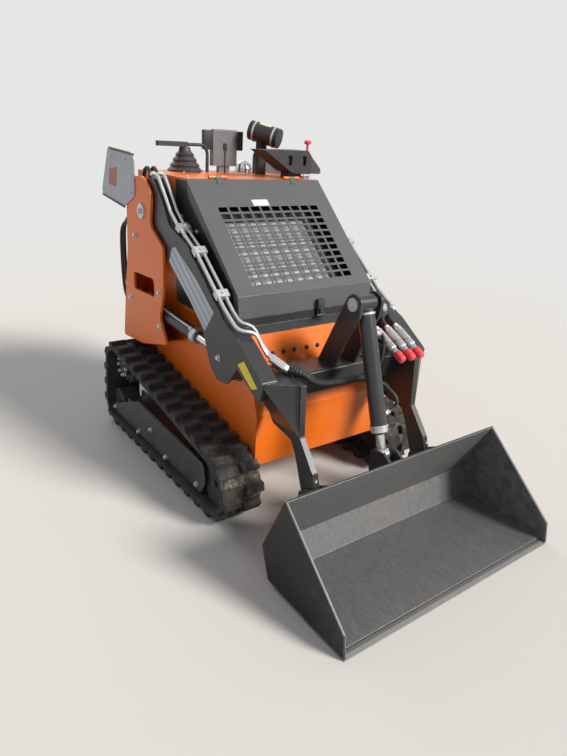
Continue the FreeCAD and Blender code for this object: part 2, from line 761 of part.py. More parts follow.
def sleeve(before, end, share):
    """Crimped sleeve over the last share of a tube's run."""
    before, end = Vector(*before), Vector(*end)
    return pipe([end + (before - end) * share, end], sleeve_radius)


def arm_tubes():
    """Two hydraulic tubes along the top of each arm in three clamps, down to crimped sleeves."""
    inner_x, outer_x = tube_places
    raised = offset_line([arm_low[-1][:2]] + [corner[:2] for corner in arm_top[:7]], -tube_lift)
    line = [along(raised[1], raised[0], top_run)] + raised[1:7]
    clamps = []
    for a, distance in ((3, 60), (4, 60), (5, 120)):
        spot = along(raised[a], raised[a + 1], distance)
        way = Vector(0, raised[a + 1][0] - raised[a][0], raised[a + 1][1] - raised[a][1]).normalize()
        clamp = Part.makeBox(arm_width - 12, 34, tube_lift + 10)
        down = Vector(0, way.z, -way.y)
        base = Vector(arm_inner + 6, spot[0], spot[1]) + down * tube_lift - way * 17
        clamp.Placement = FreeCAD.Placement(base, FreeCAD.Rotation(Vector(1, 0, 0), way, down * -1, "ZXY"))
        clamps.append(clamp)
    left, right = list(clamps), [mirrored(clamp) for clamp in clamps]
    for x, end in ((inner_x, left_ends[0]), (outer_x, left_ends[1])):
        left.append(pipe([(x, *spot) for spot in line] + end, tube_radius))
        left.append(sleeve(*end[-2:], 0.55))
    for x, end in ((inner_x, right_ends[0]), (outer_x, right_ends[1])):
        route = [(x, *spot) for spot in line] + end
        right.append(mirrored(pipe(route, tube_radius)))
        right.append(mirrored(sleeve(*end[-2:], 0.75)))
    sides = [pieces[0].fuse(pieces[1:]) for pieces in (left, right)]
    keep("arm_tubes", Part.makeCompound(sides))


# The last corners of the arm tubes, as distances from the middle plane
left_ends = ([(tube_places[0], -195, 805), (arm_inner - 17, -250, 775)],
             [(tube_places[1], -225, 792), (arm_inner + 10, -262, 790)])
right_ends = ([(tube_places[0], -200, 803), (arm_inner - 26, -222, 793),
               (arm_inner - 62, -270, 690), (arm_inner - 97, -345, 656)],
              [(tube_places[1], -240, 785), (arm_inner - 12, -262, 782),
               (arm_inner - 40, -295, 693), (arm_inner - 75, -370, 659)])


def arm_hoses():
    """Hoses over the arm pivots, to the tilt cylinder's two ports and to the quick couplers."""
    raised = offset_line([arm_low[-1][:2], arm_top[0][:2], arm_top[1][:2]], -tube_lift)
    tube_end = along(raised[1], raised[0], top_run)
    pieces = []
    for x in tube_places:
        edge = Vector(x, 562, 1224.4)
        out = Vector(0, 72, 80).normalize()
        leave = beyond((x, *raised[1]), (x, *tube_end))
        pieces += both(hose(leave + [(x, 548, 1318), tuple(edge + out * 44), tuple(edge + out * seat_gap)]))
    port_x = port_reach + seat_gap
    top_port, low_port = [along(tilt_top, tilt_eye, distance) for distance in port_distances]
    across = [[(45 - leg_inner, -425, 662), (-170, -440, 590), (50, -450, 588), (88, top_port[0], 640),
               (88, *top_port), (port_x, *top_port)],
              [(23 - leg_inner, -442, 667), (-190, -462, 600), (60, -468, 606), (98, low_port[0], 560),
               (98, *low_port), (port_x, *low_port)]]
    for route, end in zip(right_ends, across):
        leave = [(-x, y, z) for x, y, z in beyond(route[-2], route[-1])]
        pieces.append(hose(leave + end))
    first = (coupler_places[0], -318, bar_high + lid_sheet + seat_gap)
    starts = [[first], beyond(*left_ends[1]), beyond(*left_ends[0])]
    corners = [(-318, 766), (-312, 782), (-318, 768)]
    for x, start, corner in zip(coupler_places, starts, corners):
        back = [coupler_spot(x, -coupler_back - distance) for distance in (14, seat_gap)]
        pieces.append(hose(start + [(x, *corner)] + back))
    keep("arm_hoses", Part.makeCompound(pieces))


def beyond(before, last):
    """Two spots straight on from the end of a line, so that a hose leaves it in its direction."""
    last, before = Vector(*last), Vector(*before)
    way = (last - before).normalize()
    return [tuple(last + way * seat_gap), tuple(last + way * 22)]


def tower_hoses():
    """Hoses that bulge behind each tower, from its rear web's top back to its foot."""
    pieces = []
    for x, rise in ((tower_inner - 37, 24), (tower_inner - 12, 0)):
        low, high = 660 + rise, 1056 + rise
        route = [(x, web_behind(high), high), (x, 826 + rise, high - 6), (x, 848 + rise, 900),
                 (x, 826 + rise, low), (x, web_behind(low), low)]
        pieces += both(hose(route))
    keep("tower_hoses", Part.makeCompound(pieces))


coupler_places = (leg_inner - 90, leg_inner - 33, leg_inner + 20)
coupler_way = Vector(0, -0.883, -0.469)
coupler_back = 30
coupler_ahead = 100
coupler_radius = 15
cap_length = 48


def coupler_spot(x, distance):
    """The (x, y, z) point at a distance along a coupler from its plate."""
    return tuple(Vector(x, -391, 726.5) + coupler_way * distance)


def couplers():
    """Three quick couplers with red caps in a plate that stands on the crossbar's left end."""
    plate = side_plate([(-345, knee_top_z, 0), (-354, knee_top_z, 0), (-413, 751, 0), (-406, 755, 0)],
                       leg_inner - 113, leg_inner + 43)
    pieces, caps = [plate], []
    for x in coupler_places:
        ends = [coupler_spot(x, -coupler_back), coupler_spot(x, coupler_ahead)]
        pieces.append(pipe(ends, coupler_radius, sides=12))
        ends = [coupler_spot(x, coupler_ahead + seat_gap), coupler_spot(x, coupler_ahead + cap_length)]
        caps.append(pipe(ends, coupler_radius + 3, sides=12))
    keep("quick_couplers", *pieces)
    keep("coupler_caps", Part.makeCompound(caps))


# Cylinders

bore_start = 60
port_distances = (120, tilt_barrel_length - 68)
port_reach = 44


def in_line(base, end, distance, x):
    y, z = along(base, end, distance)
    return (x, y, z)


def cylinder(base, end, x, barrel_radius, barrel_length, rod_radius, eye_radius, eye_width,
             base_pin_radius, base_width, rod_start, ports=()):
    """Barrel and rod between two pins; the barrel's base turns on its pin."""
    half = base_width / 2
    base_eye = cross_bar(base, barrel_radius, x - half, x + half)
    tube = bar(in_line(base, end, barrel_radius - 12, x), in_line(base, end, barrel_length, x),
               barrel_radius)
    bosses = [cross_bar(along(base, end, distance), 9, x + rod_radius + 4, x + port_reach)
              for distance in ports]
    barrel = tube.fuse([base_eye] + bosses)
    bore = bar(in_line(base, end, bore_start, x), in_line(base, end, barrel_length + 5, x),
               rod_radius + run_gap)
    barrel = barrel.cut(bore).cut(cross_bar(base, base_pin_radius + run_gap, x - 60, x + 60))
    rod_end = math.dist(base, end) - eye_radius + 10
    rod = bar(in_line(base, end, rod_start, x), in_line(base, end, rod_end, x), rod_radius)
    return barrel, rod.fuse(cross_bar(end, eye_radius, x - eye_width / 2, x + eye_width / 2))


def cylinders():
    barrel, rod = cylinder(lift_base, lift_eye, arm_middle, lift_barrel_radius, lift_barrel_length,
                           lift_rod_radius, lift_eye_radius, lift_eye_width, lift_pin_radius, 44, 75)
    keep("lift_barrels", Part.makeCompound(both(barrel)))
    keep("lift_rods", Part.makeCompound(both(rod)))
    barrel, rod = cylinder(tilt_top, tilt_eye, 0, tilt_barrel_radius, tilt_barrel_length,
                           tilt_rod_radius, tilt_eye_radius, tilt_eye_width, tilt_pin_radius,
                           70, 110, port_distances)
    keep("tilt_barrel", barrel)
    keep("tilt_rod", rod)


# Bucket

bucket_heel = (-686, 18)
bucket_back = [(-640, 137), (-753, 382)]


def bucket():
    """Folded shell between two side plates, with a flat cutting edge below its lip."""
    inner = bucket_half - bucket_sheet
    floor_front, floor_z = lip_y + 30, 8
    shell = folded([(floor_front, floor_z), bucket_heel] + bucket_back, bucket_sheet, -inner, inner)
    cheek = side_plate([(lip_y + 2, floor_z, 0), (lip_y + 15, 90, 10), (*bucket_back[1], 0),
                        (*bucket_back[0], 0), (*bucket_heel, 15), (floor_front, floor_z, 0)],
                       inner, bucket_half)
    keep("bucket_shell", shell, *both(cheek))
    edge_top = floor_z - seat_gap
    edge = side_plate([(lip_y, 0, 0), (lip_y + 200, 0, 0), (lip_y + 200, edge_top, 0),
                       (lip_y + 16, edge_top, 0)], -bucket_half, bucket_half)
    keep("cutting_edge", edge)


def attach_plate():
    """Quick-attach plate behind the bucket with ears for the leg pins and the tilt rod."""
    line = offset_line(bucket_back, -seat_gap)
    low, high = along(line[0], line[1], 20), along(line[0], line[1], 232)
    pieces = [folded([low, high], -14, -attach_half, attach_half)]
    ear_sheet = 12
    ear_inner = leg_inner - 22
    ear_outer = leg_inner + leg_width + 22
    for x0 in (ear_inner, ear_outer - ear_sheet):
        ear = side_plate([(-655, 165, 0), (-600, 165, 0), (-560, 195, 20), (-560, 245, 20),
                          (-640, 290, 0), (-700, 290, 0)], x0, x0 + ear_sheet)
        pieces += both(ear)
    rod_ear = side_plate([(-652, 165, 0), (-622, 290, 0), (-618, 372, 25), (-690, 380, 25),
                          (-750, 340, 0)], 26, 26 + ear_sheet)
    pieces += both(rod_ear)
    shape = pieces[0].fuse(pieces[1:]).removeSplitter()
    ahead, past = 300, attach_half + 50
    in_front = side_plate([(line[0][0] - ahead, line[0][1], 0), (*line[0], 0), (*line[1], 0),
                           (line[1][0] - ahead, line[1][1], 0)], -past, past)
    shape = shape.cut(in_front).cut(cross_bar(bucket_pivot, bucket_pin_radius, -past, past))
    keep("attach_plate", shape)
    pin = cross_bar(bucket_pivot, bucket_pin_radius - pin_play, ear_inner, ear_outer)
    head = disc(bucket_pivot, bucket_pin_radius + 10, ear_outer, ear_outer + pin_head, head_sides)
    keep("bucket_pins", Part.makeCompound(both(pin.fuse(head))))


def build():
    chassis_frame()
    body_sheets()
    deck()
    hood_cover()
    cooling()
    tower()
    tower_pins()
    side_wings()
    platform()
    joystick()
    reference_bars()
    instruments()
    tracks()
    track_frames()
    sprockets()
    lift_arm()
    arm_crossbar()
    tilt_bracket()
    arm_tubes()
    arm_hoses()
    tower_hoses()
    couplers()
    cylinders()
    bucket()
    attach_plate()


build()
os.makedirs("parts", exist_ok=True)
for name, shape in nodes.items():
    shape.exportStep("parts/" + name + ".step")
    print(name, len(shape.Solids), "solid(s)", "valid" if shape.isValid() else "NOT VALID",
          round(shape.Volume / 1e6, 3), "l", shape.BoundBox)
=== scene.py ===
import json
from math import copysign, cos, pi, radians, sin
import bpy
import bmesh
from mathutils import Matrix, Vector
from mathutils.bvhtree import BVHTree

# Stand-on skid steer loader on rubber tracks. Metres, +Z up, the bucket points to -Y, and +X is
# the machine's left. Places are written in millimetres and turned to metres by at().
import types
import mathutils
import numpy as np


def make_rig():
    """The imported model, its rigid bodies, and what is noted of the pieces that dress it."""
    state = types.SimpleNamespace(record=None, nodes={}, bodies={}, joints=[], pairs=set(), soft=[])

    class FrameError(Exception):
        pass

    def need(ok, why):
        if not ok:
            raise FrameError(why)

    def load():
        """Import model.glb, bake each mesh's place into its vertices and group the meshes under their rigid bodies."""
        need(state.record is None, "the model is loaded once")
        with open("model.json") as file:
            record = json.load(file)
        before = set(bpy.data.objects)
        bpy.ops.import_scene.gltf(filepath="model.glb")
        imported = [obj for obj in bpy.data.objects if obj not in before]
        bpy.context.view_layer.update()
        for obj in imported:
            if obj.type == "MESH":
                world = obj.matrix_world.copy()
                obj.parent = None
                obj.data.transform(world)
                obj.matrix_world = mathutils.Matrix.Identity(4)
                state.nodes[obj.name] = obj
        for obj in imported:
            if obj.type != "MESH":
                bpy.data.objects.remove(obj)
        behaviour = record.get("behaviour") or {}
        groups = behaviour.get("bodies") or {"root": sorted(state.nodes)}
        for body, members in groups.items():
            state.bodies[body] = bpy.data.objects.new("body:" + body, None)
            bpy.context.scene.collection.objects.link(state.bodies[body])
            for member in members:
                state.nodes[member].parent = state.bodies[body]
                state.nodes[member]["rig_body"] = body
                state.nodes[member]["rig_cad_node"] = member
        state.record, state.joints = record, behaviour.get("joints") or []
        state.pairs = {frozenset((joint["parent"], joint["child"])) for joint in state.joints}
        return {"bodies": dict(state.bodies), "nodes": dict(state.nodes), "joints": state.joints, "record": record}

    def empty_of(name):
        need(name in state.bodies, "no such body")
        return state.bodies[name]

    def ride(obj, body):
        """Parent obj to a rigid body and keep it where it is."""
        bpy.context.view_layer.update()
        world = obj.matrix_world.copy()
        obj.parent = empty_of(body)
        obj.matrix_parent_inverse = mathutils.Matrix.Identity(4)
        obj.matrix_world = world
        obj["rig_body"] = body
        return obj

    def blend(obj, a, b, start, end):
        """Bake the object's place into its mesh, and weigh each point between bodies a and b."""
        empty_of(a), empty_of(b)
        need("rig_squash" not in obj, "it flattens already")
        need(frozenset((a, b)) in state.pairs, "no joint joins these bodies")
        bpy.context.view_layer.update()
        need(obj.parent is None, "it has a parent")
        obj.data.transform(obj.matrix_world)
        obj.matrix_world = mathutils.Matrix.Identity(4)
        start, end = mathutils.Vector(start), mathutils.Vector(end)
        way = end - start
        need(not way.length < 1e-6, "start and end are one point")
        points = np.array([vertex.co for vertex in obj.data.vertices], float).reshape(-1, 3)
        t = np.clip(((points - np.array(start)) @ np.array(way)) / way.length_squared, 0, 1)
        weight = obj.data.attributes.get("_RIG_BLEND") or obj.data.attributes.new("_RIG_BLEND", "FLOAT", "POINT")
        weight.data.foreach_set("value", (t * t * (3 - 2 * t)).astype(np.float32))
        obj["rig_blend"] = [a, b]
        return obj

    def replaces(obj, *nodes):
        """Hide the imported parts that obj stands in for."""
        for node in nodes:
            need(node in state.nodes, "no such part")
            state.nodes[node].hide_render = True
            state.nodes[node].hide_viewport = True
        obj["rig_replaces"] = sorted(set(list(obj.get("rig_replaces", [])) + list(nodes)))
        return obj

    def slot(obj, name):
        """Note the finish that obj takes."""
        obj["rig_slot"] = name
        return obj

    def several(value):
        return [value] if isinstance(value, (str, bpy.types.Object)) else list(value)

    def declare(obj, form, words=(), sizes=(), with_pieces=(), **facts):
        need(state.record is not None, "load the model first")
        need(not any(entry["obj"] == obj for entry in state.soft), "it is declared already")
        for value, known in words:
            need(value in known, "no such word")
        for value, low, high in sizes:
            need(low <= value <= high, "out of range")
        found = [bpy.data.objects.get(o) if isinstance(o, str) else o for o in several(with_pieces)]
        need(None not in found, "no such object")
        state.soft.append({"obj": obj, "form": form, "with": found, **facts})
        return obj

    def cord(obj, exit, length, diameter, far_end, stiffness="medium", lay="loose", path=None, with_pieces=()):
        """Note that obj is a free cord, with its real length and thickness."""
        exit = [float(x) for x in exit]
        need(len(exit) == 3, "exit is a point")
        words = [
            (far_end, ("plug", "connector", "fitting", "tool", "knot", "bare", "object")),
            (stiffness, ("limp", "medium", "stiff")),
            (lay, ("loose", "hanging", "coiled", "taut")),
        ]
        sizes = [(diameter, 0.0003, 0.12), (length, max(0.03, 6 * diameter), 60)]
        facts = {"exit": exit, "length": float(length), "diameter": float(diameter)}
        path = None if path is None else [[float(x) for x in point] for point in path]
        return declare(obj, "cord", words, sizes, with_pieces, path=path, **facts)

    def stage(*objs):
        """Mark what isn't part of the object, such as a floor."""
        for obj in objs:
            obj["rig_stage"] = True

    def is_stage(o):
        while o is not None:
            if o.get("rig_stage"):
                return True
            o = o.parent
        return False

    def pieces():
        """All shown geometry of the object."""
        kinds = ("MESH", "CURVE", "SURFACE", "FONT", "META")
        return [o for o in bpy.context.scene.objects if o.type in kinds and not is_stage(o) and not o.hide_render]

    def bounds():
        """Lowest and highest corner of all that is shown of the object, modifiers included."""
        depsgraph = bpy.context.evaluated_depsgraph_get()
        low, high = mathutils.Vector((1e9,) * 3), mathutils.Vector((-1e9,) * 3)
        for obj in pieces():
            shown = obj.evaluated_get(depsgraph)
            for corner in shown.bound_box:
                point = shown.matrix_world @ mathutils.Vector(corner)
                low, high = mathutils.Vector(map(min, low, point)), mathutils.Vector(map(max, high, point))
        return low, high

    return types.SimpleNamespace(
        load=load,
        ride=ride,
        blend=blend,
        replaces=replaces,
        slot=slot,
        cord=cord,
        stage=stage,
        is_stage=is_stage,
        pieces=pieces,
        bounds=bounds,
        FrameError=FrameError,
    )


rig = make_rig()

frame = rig.load()
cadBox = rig.bounds()
nodes = frame["nodes"]
record = frame["record"]
print("frame loaded:", len(nodes), "pieces")


# Small helpers

def at(x, y, z):
    return Vector((x, y, z)) / 1000


def link(item):
    bpy.context.scene.collection.objects.link(item)


def colour(hexText):
    # an sRGB hex value turned to linear
    channels = []
    for i in (1, 3, 5):
        value = int(hexText[i:i + 2], 16) / 255
        channels.append(value / 12.92 if value <= 0.04045 else ((value + 0.055) / 1.055) ** 2.4)
    return (*channels, 1)


def shaded(hexText, share, lift=0.0):
    # the same colour, darker or paler
    return (*(min(1, c * share + lift) for c in colour(hexText)[:3]), 1)


def fill(tree, node, inputs):
    # a socket is linked, a list of sockets one by one, a hex text is a colour, and anything else is set
    for socket, value in inputs.items():
        for item in value if isinstance(value, list) else [value]:
            if isinstance(item, bpy.types.NodeSocket):
                tree.links.new(item, node.inputs[socket])
            else:
                node.inputs[socket].default_value = colour(item) if str(item).startswith("#") else item


def adder(tree):
    # what adds a node to this tree: its kind, found in the first family that has it, its inputs, the output
    # that is wanted, and its settings. A Map Range takes its value as 0, the old range as 1 and 2, and the
    # new one, 0 to 1 if left out, as 3 and 4. A Mix takes its factor as 0 and its colours as 6 and 7.
    def add(kind, inputs={}, output=0, **settings):
        names = (family + kind for family in ("ShaderNode", "GeometryNode", "FunctionNode", "Node"))
        node = tree.nodes.new(next(name for name in names if hasattr(bpy.types, name)))
        for name, value in settings.items():
            setattr(node, name, value)
        fill(tree, node, inputs)
        return node.outputs[output] if node.outputs else node
    return add


def newMaterial(name):
    material = bpy.data.materials.new(name)
    material.use_nodes = True
    tree = material.node_tree
    add = adder(tree)

    def finish(inputs):
        fill(tree, tree.nodes["Principled BSDF"], inputs)
        return material
    return add, add("TexCoord", output="Object"), finish


def patches(add, place, millimetres, detail=4.0, rough=0.55, start=0.0, full=1.0, low=0.0, high=1.0):
    # blotches about that many millimetres wide: low up to where the noise reaches start, high from full on
    noise = add("TexNoise", {"Vector": place, "Scale": 1000 / millimetres, "Detail": detail,
                             "Roughness": rough})
    return add("MapRange", {0: noise, 1: start, 2: full, 3: low, 4: high})


def product(add, whole, *masks):
    for mask in masks:
        whole = add("Math", {0: whole, 1: mask}, operation="MULTIPLY")
    return whole


def layered(add, ground, *coats):
    # colours laid one over another, each through its mask
    for mask, over in coats:
        ground = add("Mix", {0: mask, 6: ground, 7: over}, 2, data_type="RGBA")
    return ground


def grain(add, place, millimetres, detail, depth, strength=0.6, rough=0.55, **normal):
    # fine relief, its depth in metres
    height = patches(add, place, millimetres, detail, rough)
    return add("Bump", {"Height": height, "Distance": depth, "Strength": strength, **normal})


def edgeMask(add, width):
    # rounded edges: where the bevelled normal leaves the flat one by 10 degrees, and in full by 26
    rounded = add("Bevel", {"Radius": width}, samples=4)
    flat = add("NewGeometry", output="Normal")
    same = add("VectorMath", {0: rounded, 1: flat}, "Value", operation="DOT_PRODUCT")
    return add("MapRange", {0: same, 1: 0.985, 2: 0.90}), rounded


# Finishes. Each starts from the real one's name and from how its surface was made.

dust = "#A89A82"


def sprayedEnamel(name, paint, worn, roughness, wear, dustLow=0.0, dustHigh=0.6, dustAmount=0.4):
    # sprayed enamel on plate: orange peel in the gloss, chipped edges, and dust between two heights in metres
    add, place, finish = newMaterial(name)
    edge, rounded = edgeMask(add, 0.0022)
    bare = product(add, edge, patches(add, place, 14, 6, 0.7, start=0.46, full=0.58), wear)
    height = add("SeparateXYZ", {0: place}, "Z")
    dusty = product(add, add("MapRange", {0: height, 1: dustHigh, 2: dustLow}),
                    patches(add, place, 120, 6, 0.65, start=0.42, full=0.72), dustAmount)
    peel = patches(add, place, 90, low=roughness - 0.07, high=roughness + 0.1)
    gloss = add("Math", {0: peel, 1: product(add, dusty, 0.4)}, operation="ADD", use_clamp=True)
    shade = layered(add, paint, (patches(add, place, 260, 3), shaded(paint, 0.82)), (bare, worn), (dusty, dust))
    return finish({"Base Color": shade, "Roughness": gloss, "Coat Weight": 0.05,
                   "Normal": grain(add, place, 3, 2, 0.00012, Normal=rounded)})


# the middles of the bucket's sheets and their normals, each in Y and Z, in metres
bucketSheets = {"half": 0.5415, "inset": 0.004, "walls": [((-0.686, 0.018), (-0.933, 0.361)),
                                                          ((-0.640, 0.137), (-0.908, -0.419)),
                                                          ((-1.065, 0.008), (-0.026, 0.9997))]}


def insideBucket(add, place):
    # 1 on the faces that hold the load, inward of the middle of each sheet
    sideways = add("Math", {0: add("SeparateXYZ", {0: place})}, operation="ABSOLUTE")
    least = add("Math", {0: bucketSheets["half"], 1: sideways}, operation="SUBTRACT")
    for (wallY, wallZ), (faceY, faceZ) in bucketSheets["walls"]:
        across = add("VectorMath", {0: place, 1: (0, faceY, faceZ)}, "Value", operation="DOT_PRODUCT")
        offset = wallY * faceY + wallZ * faceZ + bucketSheets["inset"]
        inward = add("Math", {0: across, 1: offset}, operation="SUBTRACT")
        least = add("Math", {0: least, 1: inward}, operation="MINIMUM")
    return add("MapRange", {0: least, 1: 0.0, 2: 0.001})


def wornSteel(name, paint, base="#55575A", scratched="#7E8083"):
    # black-painted plate whose inside soil has polished: long scratches, dust and a little rust
    add, place, finish = newMaterial(name)
    stretched = add("Mapping", {"Vector": place, "Scale": (60, 5, 5)})
    lines = add("TexNoise", {"Vector": stretched, "Scale": 6.0, "Detail": 8.0, "Roughness": 0.7})
    marks = add("MapRange", {0: lines, 1: 0.36, 2: 0.7, 4: 0.85})
    rusty = patches(add, place, 180, 7, 0.7, start=0.52, full=0.75, high=0.7)
    polished = layered(add, base, (marks, scratched), (rusty, "#6E655A"))
    painted = layered(add, paint, (product(add, rusty, 0.3), dust))
    edge, rounded = edgeMask(add, 0.002)
    gloss = add("MapRange", {0: lines, 3: 0.36, 4: 0.62})
    dull = add("Math", {0: gloss, 1: product(add, rusty, 0.3)}, operation="ADD", use_clamp=True)
    shade = layered(add, painted, (insideBucket(add, place), polished), (product(add, edge, 0.75), "#B9B8B4"))
    relief = add("Bump", {"Height": lines, "Distance": 0.00018, "Strength": 0.5, "Normal": rounded})
    return finish({"Metallic": 0.35, "Base Color": shade, "Roughness": dull, "Normal": relief})


def trackRubber(name):
    # vulcanised rubber: nearly black, grey with dry dust in patches, and with mud towards the front
    add, place, finish = newMaterial(name)
    along = add("SeparateXYZ", {0: place}, "Y")
    forward = add("MapRange", {0: along, 1: 0.3, 2: -0.34, 3: 0.35})
    dusty = product(add, patches(add, place, 70, 8, 0.7, start=0.45, full=0.7, high=0.5), forward)
    caked = product(add, patches(add, place, 75, 9, 0.7, start=0.55, full=0.68, high=0.75), forward, forward)
    shade = layered(add, "#17181A", (patches(add, place, 40, 5), "#2C2D2F"), (dusty, "#6B665C"),
                    (caked, "#9C8F7B"))
    relief = grain(add, place, 5, 8, 0.0015, rough=0.7)
    return finish({"Base Color": shade, "Roughness": 0.85, "Normal": relief})


def plainMetal(name, base, roughness, metallic, grit=2.0):
    # plated or cast metal: fine grain and slightly uneven gloss
    add, place, finish = newMaterial(name)
    return finish({"Metallic": metallic,
                   "Base Color": layered(add, base, (patches(add, place, 60, 5), shaded(base, 0.7))),
                   "Roughness": patches(add, place, 15, 5, low=roughness - 0.06, high=roughness + 0.12),
                   "Normal": grain(add, place, grit, 3, 0.00015, 0.5)})


def mouldedPlastic(name, base, roughness):
    # moulded plastic or rubber: fine spark-eroded grain, faded patches
    add, place, finish = newMaterial(name)
    faded = patches(add, place, 110, 5, start=0.35, full=0.75, high=0.6)
    return finish({"Base Color": layered(add, base, (faded, shaded(base, 1.5, 0.01))), "Roughness": roughness,
                   "Normal": grain(add, place, 1.2, 2, 0.0002)})


def wrappedHose(name):
    # cloth-wrapped synthetic rubber: a fine cross weave of 1.5 mm, dull, dusted on top
    add, place, finish = newMaterial(name)
    cloth = product(add, *(add("TexWave", {"Vector": place, "Scale": 210.0}, "Fac", bands_direction=way)
                           for way in ("DIAGONAL", "Z")))
    faded = patches(add, place, 60, 5, start=0.4, full=0.75, high=0.5)
    shade = layered(add, "#1B1C1E", (faded, "#4A4946"), (product(add, cloth, 0.35), "#323336"))
    return finish({"Base Color": shade, "Roughness": 0.6,
                   "Normal": add("Bump", {"Height": cloth, "Distance": 0.0002, "Strength": 0.6})})


def radiatorFins(name):
    # folded aluminium fins between flat tubes: fine bright stripes, with painted shade for the dark gaps between them
    add, place, finish = newMaterial(name)
    fins = add("TexWave", {"Vector": place, "Scale": 40.0, "Distortion": 0.6, "Detail": 2.0}, "Fac",
               bands_direction="X")
    tubes = add("TexWave", {"Vector": place, "Scale": 16.0, "Distortion": 0.3}, "Fac", bands_direction="Z")
    finsOverPaintedGapShade = product(add, add("MapRange", {0: fins, 1: 0.2, 2: 0.6, 3: 0.35}),
                      add("MapRange", {0: tubes, 1: 0.15, 2: 0.5, 3: 0.5}))
    # the dark grey ground is painted shade in the gaps, and the fins take the bright colour
    shade = layered(add, "#5E6062", (finsOverPaintedGapShade, "#E6E8EA"))
    return finish({"Metallic": 0.7, "Roughness": 0.38, "Base Color": shade,
                   "Normal": add("Bump", {"Height": finsOverPaintedGapShade, "Distance": 0.001, "Strength": 0.7})})


def printedFilm(name, base, stripe=None, bandMillimetres=34, across=(0, -0.602, 0.798)):
    # self-adhesive vinyl film: smooth, slightly scuffed, in plain stripes where a second colour is given
    add, place, finish = newMaterial(name)
    coats = [(patches(add, place, 120, 3), shaded(base, 0.85))]
    if stripe:
        along = add("VectorMath", {0: place, 1: across}, "Value", operation="DOT_PRODUCT")
        step = add("Math", {0: product(add, along, 1000 / bandMillimetres)}, operation="FRACT")
        bands = add("ValToRGB", {0: step})
        ramp = bands.node.color_ramp
        ramp.interpolation = "CONSTANT"
        ramp.elements.new(0.5)
        for element, (start, value) in zip(ramp.elements, [(0.0, 0.0), (0.55, 1.0), (0.8, 0.3)]):
            element.position = start
            element.color = (value, value, value, 1)
        coats.append((bands, stripe))
    coats.append((patches(add, place, 18, 7, 0.75, start=0.6, full=0.72, high=0.5), dust))
    return finish({"Base Color": layered(add, base, *coats), "Roughness": 0.3,
                   "Normal": grain(add, place, 6, 2, 0.0001, 0.4)})


def dialFace(name):
    # printed dial under glass: a pale face, glossy
    add, place, finish = newMaterial(name)
    shade = layered(add, "#E4E4E0", (patches(add, place, 30), "#D2D2CE"))
    return finish({"Base Color": shade, "Roughness": 0.12, "Normal": grain(add, place, 40, 4, 0.0001, 0.2)})


finishes = {
    "orange_paint": sprayedEnamel("sprayedOrangeEnamel", "#F0741A", "#8C5A34", roughness=0.36,
                                  wear=0.5, dustLow=0.1, dustAmount=0.2),
    "black_paint": sprayedEnamel("sprayedBlackEnamel", "#2E3033", "#B4B4B0", roughness=0.34,
                                 wear=0.9, dustHigh=0.5, dustAmount=0.2),
    # the hood's paler grey is painted sunlight: it is the same charcoal enamel as the black parts, made paler where
    # the sun lit it
    "grey_paint": sprayedEnamel("sprayedHoodEnamel", "#55585B", "#9A9A98", roughness=0.38,
                                wear=0.7, dustHigh=0.4, dustAmount=0.2),
    "pale_panel": sprayedEnamel("barePaleSheet", "#AEB1BC", "#6E7076", roughness=0.4, wear=0.6),
    "worn_steel": wornSteel("wornBucketSteel", "#26282B"),
    "bright_steel": plainMetal("hardChromedRod", "#E2E4E6", roughness=0.16, metallic=0.85),
    "zinc_steel": plainMetal("zincPlatedSteel", "#D3D6D9", roughness=0.36, metallic=0.7),
    "fin_aluminium": radiatorFins("brazedAluminiumFins"),
    "track_rubber": trackRubber("vulcanisedTrackRubber"),
    "boot_rubber": mouldedPlastic("mouldedBootRubber", "#313236", 0.5),
    "hose_rubber": wrappedHose("wrappedHoseRubber"),
    "black_plastic": mouldedPlastic("blackPolypropylene", "#232427", 0.5),
    "grey_plastic": mouldedPlastic("greyAbs", "#66696E", 0.42),
    "red_plastic": mouldedPlastic("redVinylCap", "#D8454F", 0.35),
    "cast_block": plainMetal("sandCastIron", "#4A4A4B", roughness=0.65, metallic=0.6, grit=3.0),
}
# the cutting edge has lost its paint on every face
bareEdge = wornSteel("wornCuttingEdge", "#6C6D6E", base="#626466", scratched="#8A8C8F")
slotOf = {s["node"]: s["material_slot"] for s in record["subparts"]}
for name, piece in nodes.items():
    piece.data.materials.clear()
    piece.data.materials.append(bareEdge if name == "cutting_edge" else finishes[slotOf[name]])
print("finishes on the carried pieces")


# Making and placing pieces

bodyTrees = {}
for body, members in record["behaviour"]["bodies"].items():
    points, faces = [], []
    for member in members:
        mesh = nodes[member].data
        start = len(points)
        points += [vertex.co.copy() for vertex in mesh.vertices]
        faces += [[start + index for index in face.vertices] for face in mesh.polygons]
    bodyTrees[body] = BVHTree.FromPolygons(points, faces)


def seat(body, place, facing, reach=60):
    # the spot on a body's skin below a place, seen from outside along facing; reach is in millimetres
    facing = Vector(facing).normalized()
    found = bodyTrees[body].ray_cast(place + facing * reach / 1000, -facing, reach / 500)[0]
    if found is None:
        raise ValueError(f"no skin of {body} under {tuple(round(c * 1000) for c in place)}")
    return found


def dress(name, mesh, body, slotName, sharp=32, material=None):
    for face in mesh.polygons:
        face.use_smooth = True
    mesh.set_sharp_from_angle(angle=radians(sharp))
    if material:
        mesh.materials.clear()
        mesh.materials.append(material)
    piece = bpy.data.objects.new(name, mesh)
    link(piece)
    if body:
        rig.ride(piece, body)
    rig.slot(piece, slotName)
    return piece


def finishPiece(name, form, body, slotName, material=None, sharp=32):
    bmesh.ops.remove_doubles(form, verts=form.verts, dist=1e-6)
    bmesh.ops.recalc_face_normals(form, faces=form.faces)
    mesh = bpy.data.meshes.new(name)
    form.to_mesh(mesh)
    form.free()
    return dress(name, mesh, body, slotName, sharp, material or finishes[slotName])


